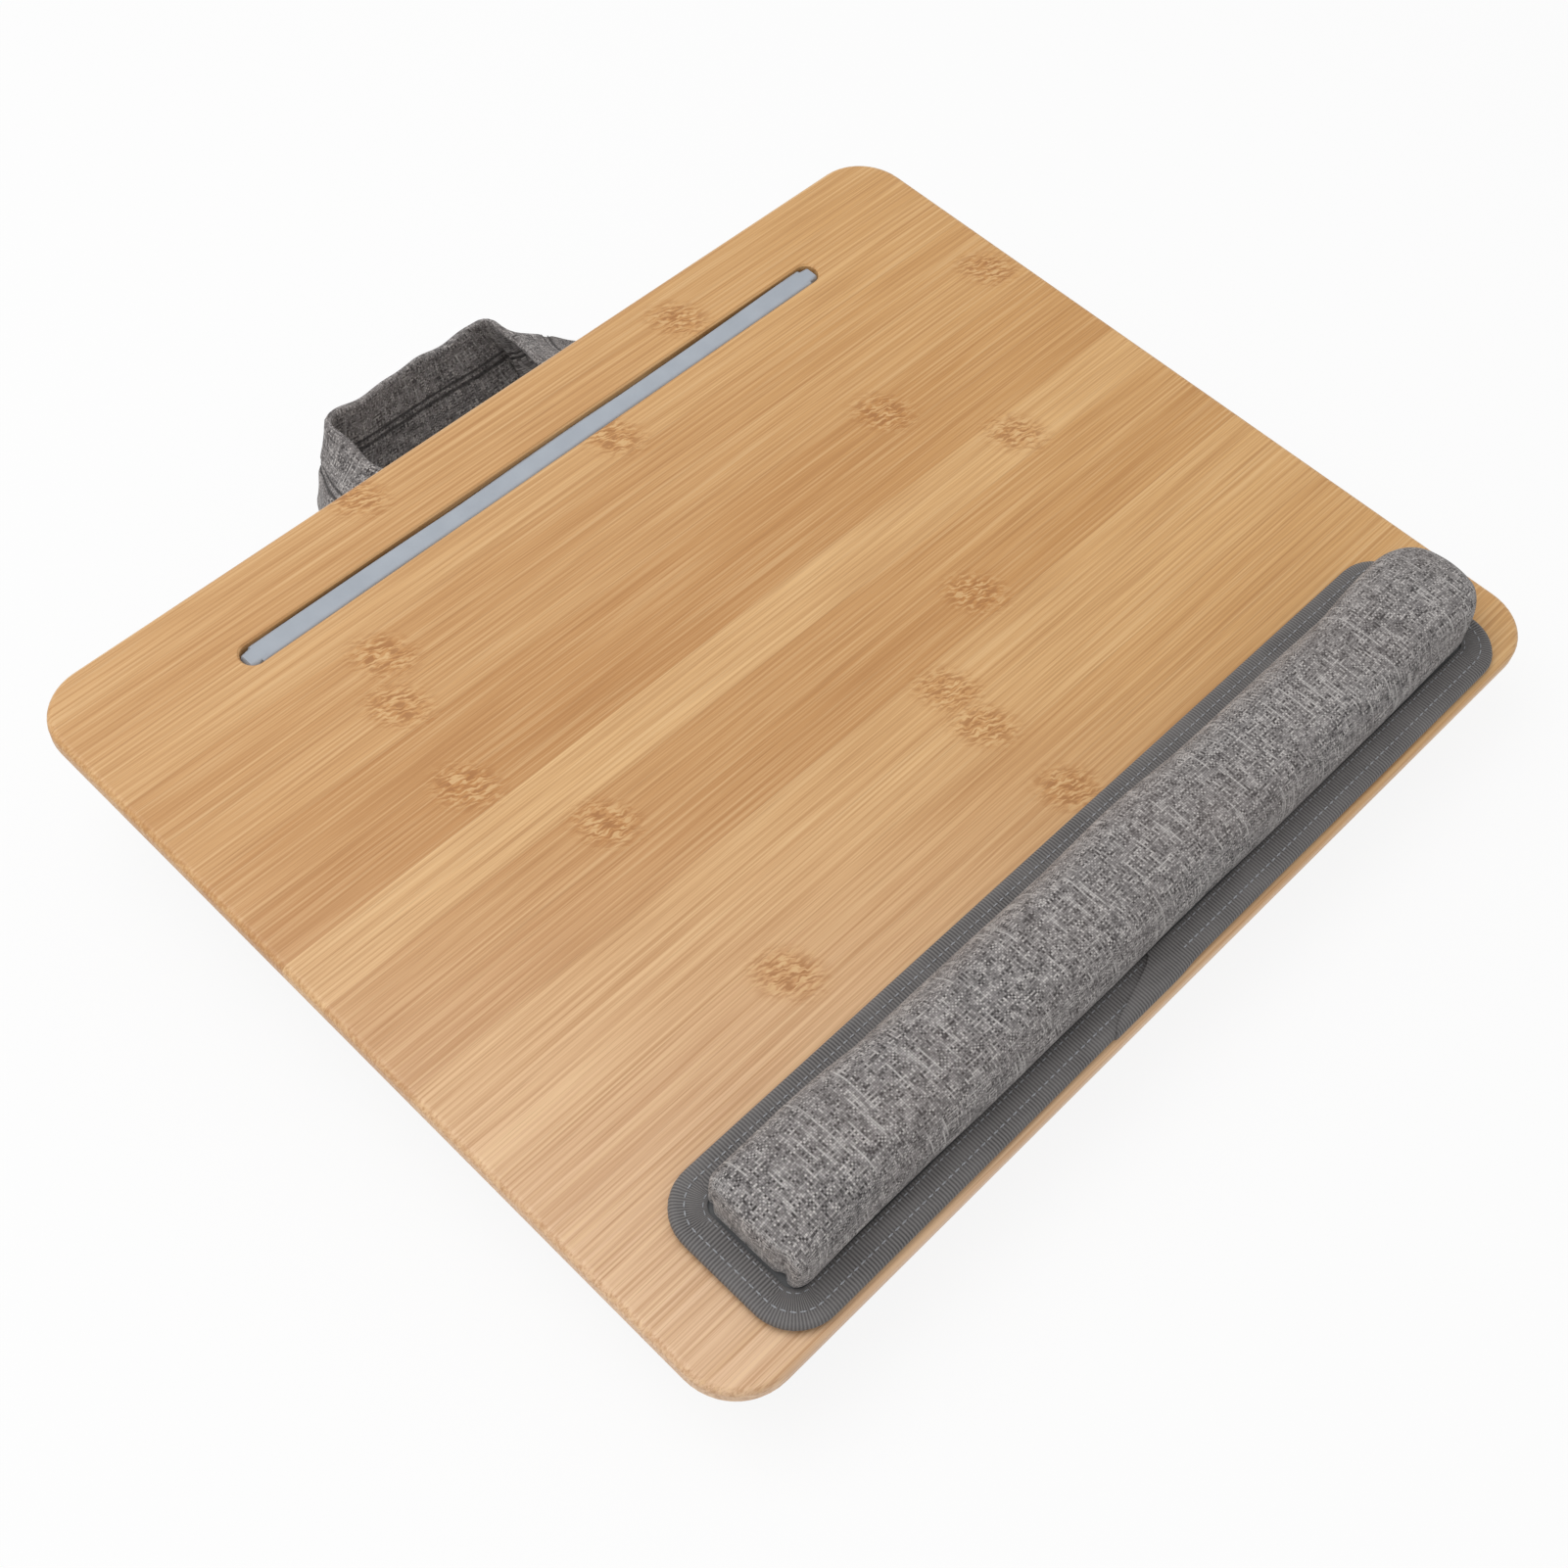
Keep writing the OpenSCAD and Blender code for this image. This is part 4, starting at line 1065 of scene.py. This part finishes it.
dress(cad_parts["desk_board"], bamboo)
print(len(knots), "knots")

# %% [markdown]
# ## Heathered cloth
# The wrist rest, cushion and strap share a plain weave of grey yarn. Each yarn is spun from dark
# and pale fibres, so its tone changes along its length, and now and then a pale thick length shows
# as a short stroke. The weave is worked out from the flat cloth: every yarn has a number, a noise
# drawn out along it gives its tone, and a chequer decides which of two crossing yarns lies on top.
# It has no shine, only the faint light edge that fuzz gives. The real yarn is about 0.5 mm. It is
# drawn 0.74 mm wide, because a finer one wouldn't show in the render.

# %% Make a heathered weave
YARN = 0.74


def heather(name, dark, middle, pale, slubs=0.75, seams=()):
    """slubs is how strongly the pale lengths show; seams are the places of sewn lines across V."""
    material, shader = finish(name, 0.92, Specular_IOR_Level=0.15, Sheen_Weight=0.12, Sheen_Roughness=0.5)
    U, V = on_cloth(material)
    wobble = (noise(vector(U * 0.06, V * 0.06)) - 0.5) * 2.0
    u, v = (U + wobble) / YARN, (V + wobble) / YARN
    column, row = calc("FLOOR", u), calc("FLOOR", v)
    over = calc("MODULO", calc("ABSOLUTE", column + row), 2.0)
    under = 1.0 - over
    # tone of the yarns that run across (one per column) and along (one per row)
    across = noise(vector(column * 7.31, V * 0.2, 3.0), 2.0, 0.6)
    along = noise(vector(U * 0.2, row * 5.17, 8.0), 2.0, 0.6)
    speck = noise(vector(U * 1.3, V * 1.3))
    tone = (across * over + along * under) * 0.85 + speck * 0.15
    colour = mix(between(tone, 0.38, 0.50), dark, middle)
    colour = mix(between(tone, 0.51, 0.64), colour, pale)
    # pale thick lengths, longer across the cloth than along it
    long_ones = between(noise(vector(column * 3.77, V * 0.04, 21.0), 1.0), 0.63, 0.68)
    short_ones = between(noise(vector(U * 0.06, row * 4.31, 34.0), 1.0), 0.63, 0.69)
    slub = calc("MAXIMUM", (over * 0.35 + 0.65) * long_ones, under * short_ones)
    colour = mix(slub * slubs, colour, "d4d0cd")
    patchy = noise(vector(U * 0.02, V * 0.03), 1.0)
    colour = mix(between(patchy, 0.35, 0.7, 0.0, 0.18), colour, "9a8d88")
    # painted shade: a dark line is painted along each sewn seam, in the groove where the stitches draw the
    # cloth in
    for seam in seams:
        colour = mix(between(calc("ABSOLUTE", V - seam), 0.45, 1.1, 0.75, 0.0), colour, "2c2a29")
    # the yarns are round: highest along their middle, lowest where they cross under, and painted shade
    # darkens each yarn's edges, where it dips between its neighbours
    off_u, off_v = (calc("ABSOLUTE", calc("FRACT", place) - 0.5) for place in (u, v))
    colour = mix(between(calc("MAXIMUM", off_u, off_v), 0.36, 0.5, 0.0, 0.6), colour, "343232")
    round_yarn = 1.0 - (off_u * over + off_v * under)
    paint(shader, colour, round_yarn + speck * 0.4, 0.22, 0.8)
    return material


roll_cloth = heather("heather_cloth", "454242", "918d8c", "d0cbc8")
cushion_cloth = heather("cushion_cloth", "444242", "8c8988", "cdc9c6")
strap_cloth = heather("strap_cloth", "454242", "8d8988", "cfcac7", slubs=0.5, seams=STRAP_SEAMS)
for piece, cloth in ((roll, roll_cloth), (bolsters, cushion_cloth), (band, cushion_cloth),
                     (cover, strap_cloth), (sewn_ends, strap_cloth)):
    dress(piece, cloth)

# %% [markdown]
# ## Tape, lining and the plain cloths
# The tape has ribs across it, like a fine washboard, which catch the light one by one. The lining
# is a smooth close weave with a faint silky shine. Both are built from waves on the flat cloth's
# coordinates, with a little noise so that no two ribs match. The base sheet and the webbing are
# the same weave with thicker threads, dull and dark.

# %% Ribbed tape
RIB = 1.2
ribbed, shader = finish("binding_tape", 0.8, Specular_IOR_Level=0.25, Sheen_Weight=0.1)
U, V = on_cloth(ribbed)
jitter = noise(vector(U * 0.4, V * 0.1))
rib = calc("SINE", U * (2 * math.pi / RIB) + jitter) * 0.5 + 0.5
cloudy = noise(vector(U * 0.05, V * 0.15), 3.0)
# painted shade and light: each rib's groove is painted darker and its crest paler, following the rib's
# height
colour = mix(rib, "4b4949", "7f7c7b")
colour = mix(between(cloudy, 0.35, 0.7, 0.0, 0.30), colour, "8a8786")
# painted shade: the tape's inner edge on top, in the fold where the roll sits on it, is painted darker
colour = mix(between(V, 0.9, 0.0) * 0.4, colour, "4f5051")
paint(shader, colour, rib, 0.14, 0.9)
dress(tape, ribbed)


# %% Smooth cloths and webbing
def plain_cloth(name, dark, pale, thread, rough, depth=0.08):
    material, shader = finish(name, rough, Specular_IOR_Level=0.2)
    U, V = on_cloth(material)
    turns = 2 * math.pi / thread
    weave = calc("SINE", U * turns) * calc("SINE", V * turns) * 0.5 + 0.5
    patchy = noise(vector(U * 0.09, V * 0.09), 4.0)
    # partly painted shade: where the weave dips it is painted darker, mixed with random patches of tone
    # that the cloth has
    paint(shader, mix(weave * 0.4 + patchy * 0.6, dark, pale), weave, depth, 0.6)
    return material


dress(panel, plain_cloth("pale_lining", "9aa1ab", "bcc3cb", 0.5, 0.7, 0.05))
dress(base, plain_cloth("base_cloth", "5b5c5d", "757677", 0.8, 0.85))
dress(webbing, plain_cloth("webbing", "404041", "58585a", 1.6, 0.8, 0.3))


# %% [markdown]
# ## Foam, strips and thread
# Foam is a pale dull grain. The loop strips are brushed and swallow light, and the hook strips are
# dark plastic, so they glint a little. Thread is spun, and shines most. All of these are one fine
# grain on Object coordinates with its own size, depth and tones.

# %% Fine grains
def grainy(name, dark, pale, scale, rough, depth, detail=3.0, lumpy=0.7, gloss=0.2, strength=0.8):
    material, shader = finish(name, rough, Specular_IOR_Level=gloss)
    X, Y, Z = in_board_frame(material)
    grain = noise(vector(X * scale, Y * scale, Z * scale), detail, lumpy)
    paint(shader, mix(between(grain, 0.35, 0.65), dark, pale), grain, depth, strength)
    return material


def thread(name, dark, pale):
    return grainy(name, dark, pale, 2.5, 0.6, 0.06, detail=2.0, lumpy=0.5, gloss=0.3, strength=0.6)


dress(foam, grainy("foam", "cfc9ba", "efebdf", 1.6, 0.95, 0.3))
hooks = grainy("hook_tape", "333334", "5d5d5f", 3.0, 0.55, 0.35)
loops = grainy("loop_tape", "474849", "747576", 1.8, 0.95, 0.5)
for node, material in (("board_hook_strips", hooks), ("rest_hook_strips", hooks),
                       ("cushion_loop_strips", loops), ("rest_loop_strips", loops)):
    dress(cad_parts[node], material)
dress(rest_stitches, thread("tape_thread", "85868a", "b0b2b6"))
dress(strap_stitches, thread("strap_thread", "302e2d", "55514f"))
dress(band_stitches, thread("band_thread", "6b6867", "95918f"))
print(len(bpy.data.materials), "finishes")

# %% [markdown]
# # Floor, light and camera
# The desk stands on a plain pale floor in soft light: an even white sky and one wide lamp above.
# The floor looks white to the camera but still takes the desk's shadow.

# %% Floor and sky
FLOOR_GLOW, SKY_LIGHT = 0.88, 0.58


def seen(tree):
    """1 for what the camera sees, straight on, mirrored or through glass, and 0 for lighting."""
    path = put(tree, "ShaderNodeLightPath").outputs
    kinds = ("Is Camera Ray", "Is Glossy Ray", "Is Transmission Ray")
    camera, glossy, through = (Value(tree, path[kind]) for kind in kinds)
    return calc("MAXIMUM", camera, calc("MAXIMUM", glossy, through))


only(None)
bpy.ops.mesh.primitive_plane_add(size=12, location=(0, 0, -0.0005))
floor = bpy.context.object
floor.name = "floor"
floor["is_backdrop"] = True
# dull white paint, which glows evenly where the camera looks so that no horizon shows
white, shader = finish("floor_white", 0.9, Specular_IOR_Level=0.0)
shader.inputs["Base Color"].default_value = linear("f4f4f4")
tree = white.node_tree
glow = put(tree, "ShaderNodeEmission", {"Color": (1, 1, 1, 1), "Strength": 1.0})
both = put(tree, "ShaderNodeMixShader",
           {0: seen(tree) * FLOOR_GLOW, 1: shader.outputs[0], 2: glow.outputs[0]})
plug(tree, both.outputs[0], tree.nodes["Material Output"].inputs["Surface"])
dress(floor, white)

world = bpy.data.worlds.new("sky")
bpy.context.scene.world = world
world.use_nodes = True
sky = world.node_tree.nodes["Background"]
sky.inputs["Color"].default_value = (1, 1, 1, 1)
plug(world.node_tree, seen(world.node_tree) * (1 - SKY_LIGHT) + SKY_LIGHT, sky.inputs["Strength"])

# %% Lamp
bpy.ops.object.light_add(type="AREA", location=(-0.5, 0.35, 1.5))
lamp = bpy.context.object
lamp.name = "wide_lamp"
lamp.data.shape = "SQUARE"
lamp.data.size = 1.4
lamp.data.energy = 12.5
lamp.rotation_euler = (Vector((0, 0, 0.05)) - lamp.location).to_track_quat("-Z", "Y").to_euler()

# %% [markdown]
# The camera stands high at the front left. Its place was worked out from the board's four edges.

# %% Camera
forward, upward = Vector((0.42832, 0.41673, -0.80180)), Vector((0.57518, 0.55861, 0.59760))
right = forward.cross(upward).normalized()
bpy.ops.object.camera_add(location=(-0.361933, -0.365046, 0.648190))
camera = bpy.context.object
turn = Matrix((right, right.cross(forward), -forward)).transposed()
camera.rotation_euler = turn.to_euler()
camera.data.sensor_width = 36
camera.data.lens = 50.09
camera.data.clip_start, camera.data.clip_end = 0.01, 50
bpy.context.scene.camera = camera
bpy.context.scene.view_settings.view_transform = "Standard"

# %% Print the size of what is shown
low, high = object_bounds()
print("shown box", [round(v / MM, 1) for v in high - low])
